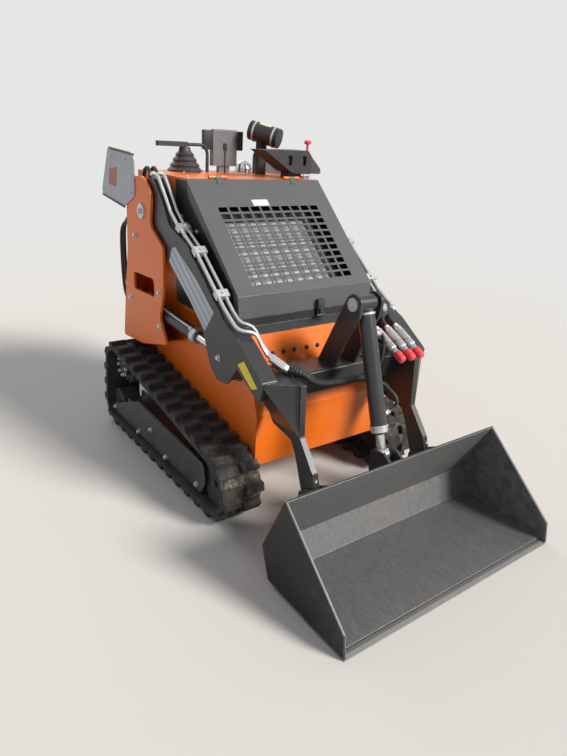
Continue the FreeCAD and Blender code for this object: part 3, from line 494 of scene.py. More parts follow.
def layPlate(form, corners, facing, thickness, rim=0.0):
    # a flat plate on a skin with an eased outer edge; corners in metres, thickness and rim in millimetres
    facing = Vector(facing).normalized()
    middle = sum(corners, Vector()) / len(corners)
    low = [form.verts.new(c) for c in corners]
    rings = [low, [form.verts.new(c + facing * (thickness - rim) / 1000) for c in corners]]
    if rim:
        ease = rim * 1.3 / 1000
        rings.append([form.verts.new(c + (middle - c).normalized() * ease + facing * thickness / 1000)
                      for c in corners])
    for under, over in zip(rings, rings[1:]):
        for k in range(len(corners)):
            after = (k + 1) % len(corners)
            form.faces.new((under[k], under[after], over[after], over[k]))
    form.faces.new(low[::-1])
    form.faces.new(rings[-1])


def block(form, low, high, rim):
    # a bevelled block between two corners, in millimetres
    made = bmesh.ops.create_cube(form, size=1)["verts"]
    low, high = at(*low), at(*high)
    for vertex in made:
        vertex.co = Vector(((low[i] + high[i]) / 2 + vertex.co[i] * (high[i] - low[i]) for i in range(3)))
    edges = list({edge for vertex in made for edge in vertex.link_edges})
    bmesh.ops.bevel(form, geom=edges, offset=rim / 1000, segments=2, profile=0.6, affect="EDGES")


def lathe(form, origin, direction, profile, sides, flute=0.0, ring=False):
    # a turned shape: (radius, distance) pairs in millimetres along a direction from origin
    turn = Vector(direction).to_track_quat("Z", "Y")
    rows = []
    for radius, distance in profile:
        if radius == 0:
            rows.append([form.verts.new(origin + turn @ Vector((0, 0, distance / 1000)))])
            continue
        row = []
        for k in range(sides):
            angle = 2 * pi * k / sides
            reach = radius / 1000 * (1 - flute * (k % 2))
            row.append(form.verts.new(origin + turn @ Vector((reach * cos(angle), reach * sin(angle),
                                                              distance / 1000))))
        rows.append(row)
    pairs = list(zip(rows, rows[1:])) + ([(rows[-1], rows[0])] if ring else [])
    for under, over in pairs:
        for k in range(sides):
            after = (k + 1) % sides
            if len(under) == 1:
                form.faces.new((under[0], over[after], over[k]))
            elif len(over) == 1:
                form.faces.new((under[k], under[after], over[0]))
            else:
                form.faces.new((under[k], under[after], over[after], over[k]))
    if not ring:
        for row in (rows[0][::-1], rows[-1]):
            if len(row) > 1:
                form.faces.new(row)


def ringSpots(radius, count, step):
    # places round a circle, step degrees apart
    angles = [radians(step * k) for k in range(count)]
    return [(radius * cos(a), radius * sin(a)) for a in angles]


# Geometry Nodes trees for what repeats or follows a line

def newTree(name, **sockets):
    tree = bpy.data.node_groups.new(name, "GeometryNodeTree")
    tree.interface.new_socket("Geometry", in_out="INPUT", socket_type="NodeSocketGeometry")
    for label, kind in sockets.items():
        tree.interface.new_socket(label, in_out="INPUT", socket_type="NodeSocket" + kind)
    tree.interface.new_socket("Geometry", in_out="OUTPUT", socket_type="NodeSocketGeometry")
    add = adder(tree)
    given = tree.nodes.new("NodeGroupInput").outputs

    def finish(shape):
        whole = add("RealizeInstances", {0: shape})
        painted = add("SetMaterial", {"Geometry": whole, "Material": given["Finish"]})
        add("GroupOutput", {0: painted})
        return tree
    return add, given, finish


def fastenerTree():
    # a washer and a hexagon head on every point, along the point's "facing", each turned at random
    add, given, finish = newTree("fastener", Across="Float", Height="Float", Washer="Float", Seed="Int",
                                 Finish="Material")
    radius = product(add, given["Across"], 0.577)
    rise = product(add, given["Height"], 0.25)

    def lifted(mesh, *heights):
        for height in heights:
            move = add("CombineXYZ", {"Z": height})
            mesh = add("Transform", {"Geometry": mesh, "Translation": move})
        return mesh

    washer = add("MeshCylinder", {"Vertices": 20, "Radius": product(add, given["Washer"], 0.5), "Depth": rise})
    head = add("MeshCylinder", {"Vertices": 6, "Radius": radius, "Depth": given["Height"]})
    crown = add("MeshCone", {"Vertices": 6, "Radius Bottom": radius, "Radius Top": product(add, radius, 0.78),
                             "Depth": rise})
    bolt = add("JoinGeometry", {0: [lifted(washer, product(add, rise, 0.5)),
                                    lifted(head, rise, product(add, given["Height"], 0.5)),
                                    lifted(crown, rise, given["Height"])]})
    points = add("MeshToPoints", {"Mesh": given["Geometry"]})
    facing = add("InputNamedAttribute", {"Name": "facing"}, data_type="FLOAT_VECTOR")
    stand = add("AlignRotationToVector", {"Vector": facing}, axis="Z")
    chance = add("RandomValue", {2: 0.0, 3: 6.283, "Seed": given["Seed"]}, 1, data_type="FLOAT")
    spin = add("EulerToRotation", {0: add("CombineXYZ", {"Z": chance})})
    turn = add("RotateRotation", {0: stand, 1: spin}, rotation_space="LOCAL")
    return finish(add("InstanceOnPoints", {"Points": points, "Instance": bolt, "Rotation": turn}))


def hoseTree():
    # a round skin along a line, with ribs where their height isn't 0
    add, given, finish = newTree("hoseSkin", Radius="Float", Ribs="Float", Pitch="Float", Finish="Material")
    line = add("MeshToCurve", {"Mesh": given["Geometry"]})
    fine = add("ResampleCurve", {"Curve": line, "Length": product(add, given["Pitch"], 0.2)}, mode="LENGTH")
    length = add("SplineParameter", output="Length")
    turns = add("Math", {0: length, 1: given["Pitch"]}, operation="DIVIDE")
    wave = add("Math", {0: product(add, turns, 2 * pi)}, operation="SINE")
    scale = add("Math", {0: given["Radius"], 1: product(add, wave, given["Ribs"])}, operation="ADD")
    circle = add("CurvePrimitiveCircle", {"Resolution": 14, "Radius": 1.0})
    return finish(add("CurveToMesh", {"Curve": fine, "Profile Curve": circle, "Fill Caps": True,
                                      "Scale": scale}))


def weldTree():
    # a row of overlapping drops along a line, each a little larger or smaller than the last
    add, given, finish = newTree("weldBead", Bead="Float", Pitch="Float", Seed="Int", Finish="Material")
    line = add("MeshToCurve", {"Mesh": given["Geometry"]})
    even = add("ResampleCurve", {"Curve": line, "Length": given["Pitch"]}, mode="LENGTH")
    drop = add("MeshUVSphere", {"Segments": 8, "Rings": 5, "Radius": given["Bead"]})
    stand = add("AlignRotationToVector", {"Vector": add("InputTangent")}, axis="X")
    chance = add("RandomValue", {2: 0.85, 3: 1.1, "Seed": given["Seed"]}, 1, data_type="FLOAT")
    return finish(add("InstanceOnPoints", {"Points": even, "Instance": drop, "Rotation": stand,
                                           "Scale": chance}))


def treadTree():
    # raised lozenges of a tread plate, turned one way and the other by turns
    add, given, finish = newTree("treadPlate", Wide="Float", Deep="Float", Columns="Int", Rows="Int",
                                 Place="Vector", Length="Float", Finish="Material")
    grid = add("MeshGrid", {"Size X": given["Wide"], "Size Y": given["Deep"], "Vertices X": given["Columns"],
                            "Vertices Y": given["Rows"]})
    grid = add("Transform", {"Geometry": grid, "Translation": given["Place"]})
    drop = add("MeshUVSphere", {"Segments": 8, "Rings": 6, "Radius": given["Length"]})
    flat = add("Transform", {"Geometry": drop, "Scale": (0.5, 0.15, 0.08)})
    odd = add("Math", {0: add("InputIndex"), 1: 2.0}, operation="MODULO")
    angle = add("Math", {0: product(add, odd, pi / 2), 1: pi / 4}, operation="ADD")
    turn = add("EulerToRotation", {0: add("CombineXYZ", {"Z": angle})})
    return finish(add("InstanceOnPoints", {"Points": grid, "Instance": flat, "Rotation": turn}))


def grow(name, tree, source, **values):
    # what a tree makes of a source mesh, as a plain mesh; the modifier goes with its holder
    holder = bpy.data.objects.new(name + "Source", source)
    link(holder)
    modifier = holder.modifiers.new("grow", "NODES")
    modifier.node_group = tree
    for item in tree.interface.items_tree:
        if item.in_out == "INPUT" and item.name in values:
            modifier[item.identifier] = values[item.name]
    shape = holder.evaluated_get(bpy.context.evaluated_depsgraph_get())
    mesh = bpy.data.meshes.new_from_object(shape)
    holder.modifiers.clear()
    bpy.data.objects.remove(holder)
    return mesh


def lineMesh(points):
    mesh = bpy.data.meshes.new("line")
    mesh.from_pydata(points, [(k, k + 1) for k in range(len(points) - 1)], [])
    return mesh


trees = {"fastener": fastenerTree(), "hose": hoseTree(), "weld": weldTree(), "tread": treadTree()}
print("helpers and trees")


# Bolts: places on each body's skin, in millimetres. A size is across the flats, the head's height and across
# the washer. What a set doesn't give is as boltCommon says.

boltCommon = {"body": "chassis", "facing": (1, 0, 0), "mirror": True, "slot": "zinc_steel"}
boltSets = {
    "panelBolts": {"size": (13, 6, 19), "places": [
        (340, y, z) for y, z in ((350, 1123), (307, 1098), (265, 1071), (216, 1078), (224, 1016), (171, 975),
                                 (131, 947), (92, 927))]},
    "guardBolts": {"size": (16, 8, 26), "places": [
        (510, 792, 86), (510, 496, 66), (510, 350, 141), (510, 196, 68), (510, -100, 84)]},
    "towerBolts": {"size": (18, 9, 28), "places": [(444, 365, 793), (444, 610, 1010), (444, 365, 640)]},
    "wingBolts": {"size": (10, 5, 18), "places": [
        (449, 640, 1190), (449, 632, 1262), (449, 690, 1330), (449, 850, 1335)]},
    "sprocketBolts": {"size": (14, 8, 20),
                      "places": [(530, 740 + y, 325 + z) for y, z in ringSpots(46, 8, 45)]},
    "frontBolts": {"size": (13, 6, 20), "facing": (0, -0.952, 0.306), "mirror": False, "slot": "black_plastic",
                   "places": [(x, -205, 658) for x in (-226, -172, -117, -52, 6)]},
    "deckBolts": {"size": (13, 6, 20), "facing": (0, 0, 1), "places": [
        (322, 330, 1282), (322, 560, 1282), (322, 770, 1282)]},
    "bootBolts": {"size": (8, 4, 12), "facing": (0, 0, 1), "mirror": False, "places": [
        (-142 + x, 705 + y, 1282) for x, y in ringSpots(92, 6, 60)]},
    "rearBolts": {"size": (13, 6, 20), "facing": (0, 1, 0),
                  "places": [(318, 800, z) for z in (640, 820, 1000, 1180)]},
    "clampBolts": {"body": "arms", "size": (10, 5, 16), "facing": (0, -0.65, 0.76), "places": [
        (393.5, 235.4, 1090), (393.5, 95, 1018.6), (393.5, -79.8, 883.3)]},
    "armPinBolts": {"body": "arms", "size": (16, 8, 26), "places": [(440, -123, 646)]},
    "pivotBolts": {"size": (18, 9, 30), "places": [(460, 534, 1125), (460, 684, 699)]},
    "bucketPinBolts": {"body": "bucket", "size": (13, 6, 22), "places": [(350, -595, 215)]},
    "tiltPinBolts": {"body": "arms", "size": (10, 5, 18), "places": [(66, -466, 905)]},
}


def makeBolts(name, sizes, seed):
    spots = list(sizes["places"])
    ways = [Vector(sizes["facing"])] * len(spots)
    if sizes["mirror"]:
        ways += [Vector((-way.x, way.y, way.z)) for way in ways]
        spots += [(-x, y, z) for x, y, z in spots]
    source = bpy.data.meshes.new(name + "Points")
    source.from_pydata([seat(sizes["body"], at(*spot), way) for spot, way in zip(spots, ways)], [], [])
    facing = source.attributes.new("facing", "FLOAT_VECTOR", "POINT")
    for item, way in zip(facing.data, ways):
        item.vector = way
    across, height, washer = at(*sizes["size"])
    mesh = grow(name, trees["fastener"], source, Across=across, Height=height, Washer=washer, Seed=seed,
                Finish=finishes[sizes["slot"]])
    dress(name, mesh, sizes["body"], sizes["slot"])


for seed, (name, sizes) in enumerate(boltSets.items()):
    makeBolts(name, boltCommon | sizes, seed)
print("bolts:", len(boltSets), "sets")


# Hoses. Each route repeats part.py's points, in millimetres, as control points of a NURBS spline.

hoseSizes = {"diameter": 0.016, "pitch": 0.02, "sharp": 60}
loomSizes = {"Radius": 0.0125, "Ribs": 0.0021, "Pitch": 0.0105}
loopPoints = [(479.3, 1284.2), (500.8, 1281.6), (548, 1318), (591.4, 1257.1), (562.2, 1224.6)]
towerPoints = {395: [(705.7, 1080), (850, 1074), (872, 900), (850, 684), (760.1, 684)],
               420: [(706.6, 1056), (826, 1050), (848, 900), (826, 660), (764.5, 660)]}
# "bodies" are those of the two ends, the arms if left out, and "turn" is where the bend between them
# starts and ends. "loom" gives the shares of the hose that its ribbed sleeve covers.
hoses = {
    "bundleHoseTop": {"bodies": ("arms", "tilt_barrel"), "turn": ((-240, -425, 655), (88, -503, 700)),
                      "length": 0.63, "loom": (0.16, 0.62), "route": [
        (-264.9, -345.3, 655.9), (-256.4, -363.5, 647.6), (-240, -425, 662), (-170, -440, 590),
        (50, -450, 588), (88, -503.5, 640), (88, -503.5, 791), (44.3, -503.5, 791)]},
    "bundleHoseLow": {"bodies": ("arms", "tilt_barrel"), "turn": ((-262, -442, 655), (98, -600, 540)),
                      "length": 0.62, "loom": (0.16, 0.70), "route": [
        (-286.9, -370.3, 658.9), (-278.4, -388.5, 650.6), (-262, -442, 667), (-190, -462, 600),
        (60, -468, 606), (98, -600.2, 560), (98, -600.2, 496.5), (44.3, -600.2, 496.5)]},
    "couplerHoseInner": {"length": 0.155, "route": [
        (195, -318, 640.3), (195, -318, 766), (195, -352.1, 747.1), (195, -364.2, 740.7)]},
    "couplerHoseMiddle": {"length": 0.19, "route": [
        (371.8, -262.2, 790), (356.5, -277.5, 789.2), (252, -312, 782), (252, -352.1, 747.1),
        (252, -364.2, 740.7)]},
    "couplerHoseOuter": {"length": 0.13, "route": [
        (344.9, -250.2, 774.9), (334.7, -267.1, 765.7), (305, -318, 768), (305, -352.1, 747.1),
        (305, -364.2, 740.7)]},
}
for side, sign in (("Left", 1), ("Right", -1)):
    for rank, x in (("Inner", 378), ("Outer", 409)):
        hoses["pivotHose" + rank + side] = {
            "bodies": ("chassis", "arms"), "turn": ((0, 592, 1215), (0, 482, 1292)), "length": 0.173,
            "route": [(sign * x, *spot) for spot in loopPoints]}
    for rank, length, (x, spots) in zip(("Inner", "Outer"), (0.56, 0.52), towerPoints.items()):
        hoses["towerHose" + rank + side] = {"bodies": ("chassis", "chassis"), "length": length,
                                            "route": [(sign * x, *spot) for spot in spots]}
standsFor = {"bundleHoseTop": "arm_hoses", "towerHoseInnerLeft": "tower_hoses"}
ferruleProfile = [(8, 0), (10.6, 0.5), (11.2, 2), (10.2, 3.5), (11.2, 5), (10.2, 6.5), (11.2, 8), (10.2, 9.5),
                  (11.2, 11), (10.6, 14), (9.2, 16), (8, 17)]
nutProfile = [(8, -7), (11, -7), (12, -6), (12, 0), (11, 0.6), (8, 0.6)]
ferruleForms = {body: bmesh.new() for body in ("chassis", "arms", "tilt_barrel")}


def readRoute(name, route):
    # points read from the NURBS spline through the route's control points
    data = bpy.data.curves.new(name + "Route", "CURVE")
    data.dimensions = "3D"
    data.resolution_u = 16
    spline = data.splines.new("NURBS")
    spline.points.add(len(route) - 1)
    for control, spot in zip(spline.points, route):
        control.co = (*at(*spot), 1)
    spline.order_u = 3
    spline.use_endpoint_u = True
    holder = bpy.data.objects.new(name + "Route", data)
    link(holder)
    mesh = bpy.data.meshes.new_from_object(holder.evaluated_get(bpy.context.evaluated_depsgraph_get()))
    path = [vertex.co.copy() for vertex in mesh.vertices]
    bpy.data.objects.remove(holder)
    return path


def makeHose(name, sizes):
    path = readRoute(name, sizes["route"])
    first, last = sizes.get("bodies", ("arms", "arms"))
    crossing = first != last
    mesh = grow(name, trees["hose"], lineMesh(path), Radius=hoseSizes["diameter"] / 2, Ribs=0.0,
                Pitch=hoseSizes["pitch"], Finish=finishes["hose_rubber"])
    piece = dress(name, mesh, None if crossing else first, "hose_rubber", hoseSizes["sharp"])
    covers = [piece]
    if "loom" in sizes:
        low, high = (int(share * len(path)) for share in sizes["loom"])
        sleeve = grow(name + "Loom", trees["hose"], lineMesh(path[low:high]), **loomSizes,
                      Finish=finishes["black_plastic"])
        covers.append(dress(name.replace("Hose", "Loom"), sleeve, None, "black_plastic", hoseSizes["sharp"]))
    if crossing:
        start, end = (at(*spot) for spot in sizes["turn"])
        for cover in covers:
            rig.blend(cover, first, last, start=start, end=end)
    if name.startswith("pivot"):
        first, last = last, first
    for body, spot, after in ((first, path[0], path[3]), (last, path[-1], path[-4])):
        inward = (after - spot).normalized()
        lathe(ferruleForms[body], spot, inward, ferruleProfile, 20)
        lathe(ferruleForms[body], spot, inward, nutProfile, 6)
    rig.cord(piece, exit=path[0], length=sizes["length"], diameter=hoseSizes["diameter"], far_end="object",
            stiffness="stiff", lay="loose", path=path)
    if name in standsFor:
        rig.replaces(piece, standsFor[name])
    print("hose", name, round(sum((b - a).length for a, b in zip(path, path[1:])), 3))


for name, sizes in hoses.items():
    makeHose(name, sizes)
for body, form in ferruleForms.items():
    finishPiece(body.replace("_b", "B") + "Ferrules", form, body, "zinc_steel")
print("hoses and their ferrules")


# Lift and tilt cylinders: glands, wiper rings, steel lines and grease nipples, in millimetres

cylinders = {
    "lift": {"body": "lift_barrels", "foot": (684, 699), "eye": (-123, 646), "barrel": 585, "radius": 31,
             "rod": 18, "rows": (394.5, -394.5)},
    "tilt": {"body": "tilt_barrel", "foot": (-466, 905), "eye": (-650, 345), "barrel": 498, "radius": 32,
             "rod": 17, "rows": (0,)},
}
lineSizes = {"radius": 4.5, "clear": 8, "first": 66, "last": 545, "ends": 30, "pitch": 15, "bossFoot": 28,
             "boss": [(0, 0), (9, 0), (9, 9), (7.5, 10.5), (0, 10.5)]}
nipples = {"lift_rods": [(394.5, -123, 676, 0, 0.3, 1), (-394.5, -123, 676, 0, 0.3, 1)],
           "lift_barrels": [(394.5, 684, 730, 0, 0, 1), (-394.5, 684, 730, 0, 0, 1)],
           "tilt_rod": [(0, -650, 373, 0, 1, 0)],
           "arms": [(300, -595, 250, 0, -0.4, 1), (-300, -595, 250, 0, -0.4, 1)]}
nippleProfile = [(0, -2), (5, -2), (5, 3), (3, 4.5), (2.2, 7), (3.2, 9), (2.6, 11), (0, 12)]


def barrelLine(x, sizes):
    foot, eye = at(x, *sizes["foot"]), at(x, *sizes["eye"])
    return foot, (eye - foot).normalized()


def makeCylinder(name, sizes):
    glands, wipers = bmesh.new(), bmesh.new()
    outer, rod = sizes["radius"], sizes["rod"]
    gland = [(outer - 1, 0), (outer + 3, 0), (outer + 4, 1.5), (outer + 4, 8), (outer + 1.5, 10),
             (outer + 1.5, 26), (outer - 2, 31), (rod + 1.5, 31), (rod + 1.5, 24), (outer - 1, 24)]
    wiper = [(rod + 0.6, 0), (rod + 7, 0), (rod + 6.5, 3), (rod + 2, 6), (rod + 0.6, 6)]
    weld = [(outer - 2, 0), (outer + 2.5, 1), (outer + 3, 4), (outer + 2, 9), (outer - 2, 10)]
    rings = [(glands, sizes["barrel"] - 30, gland, 36), (wipers, sizes["barrel"] + 1, wiper, 32),
             (glands, 34, weld, 36)]
    for x in sizes["rows"]:
        foot, way = barrelLine(x, sizes)
        for form, distance, profile, sides in rings:
            lathe(form, foot + way * distance / 1000, way, profile, sides, ring=True)
    finishPiece(name + "Glands", glands, sizes["body"], "zinc_steel")
    finishPiece(name + "Wipers", wipers, sizes["body"], "boot_rubber")


def makeSteelLines(sizes):
    # one thin steel line along the outside of each lift barrel, between two welded ports
    form = bmesh.new()
    for x in sizes["rows"]:
        foot, way = barrelLine(x, sizes)
        out = Vector((copysign(0.55, x), way.z * 0.83, -way.y * 0.83)).normalized()
        near, far = (foot + way * lineSizes[k] / 1000 for k in ("first", "last"))
        lift = out * (sizes["radius"] + lineSizes["clear"]) / 1000
        ends = lineSizes["ends"] / 1000
        route = [near + out * ends, near + lift, near + lift + way * ends, far + lift - way * ends, far + lift,
                 far + out * ends]
        path = readRoute("line", [tuple(p * 1000) for p in route])
        form.from_mesh(grow("line", trees["hose"], lineMesh(path), Radius=lineSizes["radius"] / 1000, Ribs=0.0,
                            Pitch=lineSizes["pitch"] / 1000, Finish=finishes["zinc_steel"]))
        for spot in (near, far):
            lathe(form, spot + out * lineSizes["bossFoot"] / 1000, out, lineSizes["boss"], 18)
    finishPiece("liftSteelLines", form, sizes["body"], "zinc_steel")


for name, sizes in cylinders.items():
    makeCylinder(name, sizes)
makeSteelLines(cylinders["lift"])
for body, spots in nipples.items():
    form = bmesh.new()
    for x, y, z, *facing in spots:
        lathe(form, seat(body, at(x, y, z), facing), facing, nippleProfile, 12)
    finishPiece(body.replace("_", "") + "Nipples", form, body, "zinc_steel")
print("cylinder details")


# Quick couplers: knurled sleeves with red dust caps, each profile as (radius, distance)

couplers = {"columns": (195, 252, 305), "seat": (-364.5, 740.6), "way": (0, -0.883, -0.4695),
            "hexagon": [(15, 0), (15, 20), (13.5, 22)],
            "sleeve": [(13, 20), (16, 23), (16.4, 26), (16.4, 62), (15.8, 66), (14, 67), (14, 74), (15.6, 75),
                       (16.4, 78), (16.4, 104), (15, 108), (13, 110), (13, 130)],
            "cap": [(13, 130.5), (16, 131), (17.8, 133), (17.8, 150), (16.6, 152), (17.6, 155), (17.6, 170),
                    (15, 176), (9, 178), (0, 178.4)],
            "ring": [(14.2, 67.5), (17.4, 68), (17.8, 70.5), (17.4, 73), (14.2, 73.5)]}


def makeCouplers():
    sleeves, caps, rings = bmesh.new(), bmesh.new(), bmesh.new()
    way = Vector(couplers["way"]).normalized()
    for x in couplers["columns"]:
        foot = at(x, *couplers["seat"])
        lathe(sleeves, foot, way, couplers["hexagon"], 6)
        lathe(sleeves, foot, way, couplers["sleeve"], 64, flute=0.05)
        lathe(caps, foot, way, couplers["cap"], 44, flute=0.045)
        lathe(rings, foot, way, couplers["ring"], 40, ring=True)
    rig.replaces(finishPiece("couplerSleeves", sleeves, "arms", "zinc_steel"), "quick_couplers")
    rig.replaces(finishPiece("couplerDustCaps", caps, "arms", "red_plastic", sharp=50), "coupler_caps")
    finishPiece("couplerRings", rings, "arms", "bright_steel")


makeCouplers()


# Labels and films, bare of words: corners on the skin, in millimetres

filmSizes = {"thickness": 0.4, "rim": 0.1}
films = {
    "armStrip": {"body": "arms", "facing": (-1, 0, 0), "slot": "pale_panel",
                 "material": printedFilm("silverBlueArmFilm", "#B9C3CF", "#7F8FA3"),
                 "corners": [(-427, 303, 944), (-427, 273, 1007), (-427, 242, 1015), (-427, 57, 914),
                             (-427, -79, 817), (-427, -11, 724), (-427, 125, 827)]},
    "armSticker": {"body": "arms", "facing": (-1, 0, 0), "slot": "orange_paint",
                   "material": printedFilm("plainYellowFilm", "#EFD71F"),
                   "corners": [(-427, -262, 664), (-427, -305, 692), (-427, -400, 615), (-427, -360, 600)]},
    "wingPatch": {"body": "chassis", "facing": (-1, 0, 0), "slot": "red_plastic",
                  "material": printedFilm("plainRedBrownFilm", "#A5483A"),
                  "corners": [(-449, 885, 1279), (-449, 784, 1292), (-449, 803, 1201), (-449, 895, 1205)]},
    "hoodLabel": {"body": "hood", "facing": (0, -0.686, 0.728), "slot": "pale_panel",
                  "material": printedFilm("plainWhiteFilm", "#E8E8E6"),
                  "corners": [(-80, 187, 1183), (2, 187, 1183), (2, 210, 1205), (-80, 210, 1205)]},
}


def makeFilm(name, sizes):
    form = bmesh.new()
    corners = [seat(sizes["body"], at(*spot), sizes["facing"]) for spot in sizes["corners"]]
    layPlate(form, corners, sizes["facing"], filmSizes["thickness"], filmSizes["rim"])
    finishPiece(name, form, sizes["body"], sizes["slot"], sizes["material"])


for name, sizes in films.items():
    makeFilm(name, sizes)
print("couplers and films")


# Edge strips on the wings and ridges on the track guards: each run is two spots in Y and Z

stripSizes = {"wide": 7, "thick": 4.5, "sunk": 3, "rim": 1.2}
strips = {
    "wingTopEdges": {"slot": "boot_rubber", "x": 451.5, "runs": [((864, 1369), (587, 1356))]},
    "wingLowEdges": {"slot": "boot_rubber", "x": 451.5, "runs": [((982, 1152), (708, 1121))]},
    "guardRidges": {"slot": "black_paint", "x": 512,
                    "runs": [((475, 224), (290, 210)), ((290, 210), (-150, 206))]},
}


def makeStrips(name, sizes):
    # square strips with eased edges, in the plane of the side, on both sides
    form = bmesh.new()
    for side in (1, -1):
        x = side * (sizes["x"] - stripSizes["sunk"])
        for start, end in sizes["runs"]:
            low, high = at(x, *start), at(x, *end)
            run = (high - low).normalized()
            over = Vector((0, -run.z, run.y)) * stripSizes["wide"] / 2000
            layPlate(form, [low - over, high - over, high + over, low + over], (side, 0, 0),
                     stripSizes["thick"], stripSizes["rim"])
    finishPiece(name, form, "chassis", sizes["slot"])


for name, sizes in strips.items():
    makeStrips(name, sizes)


# Console: dials and a key on the operator's side of the pod, dark strips, and a red knob, in millimetres

console = {"podBack": 735, "podFront": 700, "dials": [(52, 1432), (108, 1432)], "dialRadius": 21,
           "strips": [(-39, 11, 1385, 1475), (146, 184, 1385, 1475)], "knob": (330, 364, 1441),
           "key": (80, 1368), "glass": [(21, 0.2), (21, 2.6), (0, 2.7)],
           "rim": [(0, 0), (3, 0), (3, 4), (1, 6), (0, 6)],
           "hub": [(2.6, 0), (2.6, 1), (1.6, 1.6), (0, 1.7)],
           "lock": [(0, 0), (13, 0), (13, 4), (11, 6), (7, 6), (6.6, 4), (0, 4)],
           "keyStem": [(0, 4), (3, 4), (3, 18), (0, 18)], "knobStem": [(0, -40), (6, -40), (6, -2), (0, -2)],
           "knobHead": [(0, -4), (12, -4), (17, 0), (17, 8), (13, 13), (0, 15)]}
dialTicks = {"count": 9, "first": 225, "step": 33.75, "inner": 14.5, "outer": 18.5, "wide": 1.2}
dialNeedle = {"turn": 137.51, "tail": 3, "reach": 15, "wide": 2, "point": 0.3}


def makeDial(rims, faces, needles, foot):
    back, radius = (0, 1, 0), console["dialRadius"]
    lathe(rims, foot, back, [(radius + out, rise) for out, rise in console["rim"]], 32, ring=True)
    lathe(faces, foot, back, console["glass"], 32)
    marks = [(dialTicks["first"] - dialTicks["step"] * k, dialTicks["inner"], dialTicks["outer"],
              dialTicks["wide"], 1, 2.7, 0.4) for k in range(dialTicks["count"])]
    marks.append((dialNeedle["turn"], -dialNeedle["tail"], dialNeedle["reach"], dialNeedle["wide"],
                  dialNeedle["point"], 3.1, 0.5))
    for turn, near, far, wide, point, rise, thick in marks:
        ray = Vector((cos(radians(turn)), 0, sin(radians(turn)))) / 1000
        across = Vector((-ray.z, 0, ray.x)) * wide / 2
        inner, outer = (foot + ray * reach + at(0, rise, 0) for reach in (near, far))
        layPlate(needles, [inner - across, outer - across * point, outer + across * point, inner + across],
                 back, thick)
    lathe(needles, foot + at(0, 3.1, 0), back, console["hub"], 16)


def makeConsole():
    rims, faces, needles, dark, knob = (bmesh.new() for _ in range(5))
    back = console["podBack"]
    for x, z in console["dials"]:
        makeDial(rims, faces, needles, at(x, back + 0.3, z))
    x, z = console["key"]
    lathe(rims, at(x, back + 0.3, z), (0, 1, 0), console["lock"], 28)
    lathe(rims, at(x, back + 0.3, z), (0, 1, 0), console["keyStem"], 12)
    block(rims, (x - 1.6, back + 18, z - 12), (x + 1.6, back + 38, z + 12), 0.8)
    for x0, x1, z0, z1 in console["strips"]:
        block(dark, (x0, console["podFront"] + 3, z0), (x1, back - 5, z1), 5)
    lathe(knob, at(*console["knob"]), (0, 0, 1), console["knobStem"], 20)
    lathe(knob, at(*console["knob"]), (0, 0, 1), console["knobHead"], 32)
    finishPiece("dialRims", rims, "chassis", "bright_steel")
    finishPiece("dialFaces", faces, "chassis", "pale_panel", dialFace("glazedDialFace"))
    finishPiece("dialNeedles", needles, "chassis", "black_plastic")
    finishPiece("podStrips", dark, "chassis", "black_plastic")
    finishPiece("stopKnob", knob, "chassis", "red_plastic")


makeConsole()


# Air cleaner: two clamp bands and a plain cream label that follows the round body

cleaner = {"low": (200, 660, 1486), "high": (285, 535, 1452), "radius": 46, "fromLow": 22, "fromHigh": 30,
           "band": [(0.3, 0), (2.6, 0), (2.6, 9), (0.3, 9)], "labelFrom": 0.3, "labelTo": 0.68,
           "labelStart": 60, "labelStep": 12, "labelCount": 10, "labelClear": 0.5}


def makeCleaner():
    low, high, radius = at(*cleaner["low"]), at(*cleaner["high"]), cleaner["radius"]
    way = (high - low).normalized()
    bands, label = bmesh.new(), bmesh.new()
    for foot in (low + way * cleaner["fromLow"] / 1000, high - way * cleaner["fromHigh"] / 1000):
        lathe(bands, foot, way, [(radius + out, along) for out, along in cleaner["band"]], 44, ring=True)
    side = way.cross(Vector((0, 0, 1))).normalized()
    over = side.cross(way)
    angles = [radians(cleaner["labelStart"] + cleaner["labelStep"] * k)
              for k in range(cleaner["labelCount"] + 1)]
    rays = [(side * cos(a) + over * sin(a)) * (radius + cleaner["labelClear"]) / 1000 for a in angles]
    first, last = (low.lerp(high, cleaner[k]) for k in ("labelFrom", "labelTo"))
    for ray, after in zip(rays, rays[1:]):
        layPlate(label, [first + ray, first + after, last + after, last + ray], ray + after, 0.5)
    finishPiece("cleanerBands", bands, "chassis", "zinc_steel")
    finishPiece("cleanerLabel", label, "chassis", "pale_panel", printedFilm("plainCreamFilm", "#E6DCC0"))


makeCleaner()


# Hood latch: a rubber pull over its keeper, as blocks of two corners and a rim, and a pin

latch = {"blocks": [((34, -160, 800), (70, -150, 836), 3), ((44, -164, 770), (60, -154, 806), 3)],
         "pinFoot": (28, -160, 772), "pin": [(0, 0), (5, 0), (6, 3), (6, 45), (5, 48), (0, 48)]}


def makeLatch():
    form = bmesh.new()
    for low, high, rim in latch["blocks"]:
        block(form, low, high, rim)
    lathe(form, at(*latch["pinFoot"]), (1, 0, 0), latch["pin"], 16)
    finishPiece("latchPull", form, "hood", "boot_rubber")


makeLatch()
print("strips, console, cleaner and latch")


# Bucket welds: seams followed on the skin of both side plates, in millimetres, from a start to an end

welds = {"bead": 3.2, "pitch": 4.2, "steps": 16, "reach": 90, "seed": 3, "seams": [
    ((0, 0, 1), (534.5, -1050, 40), (534.5, -730, 45)),
    ((0, -1, 0.3), (534.5, -690, 150), (534.5, -755, 360))]}


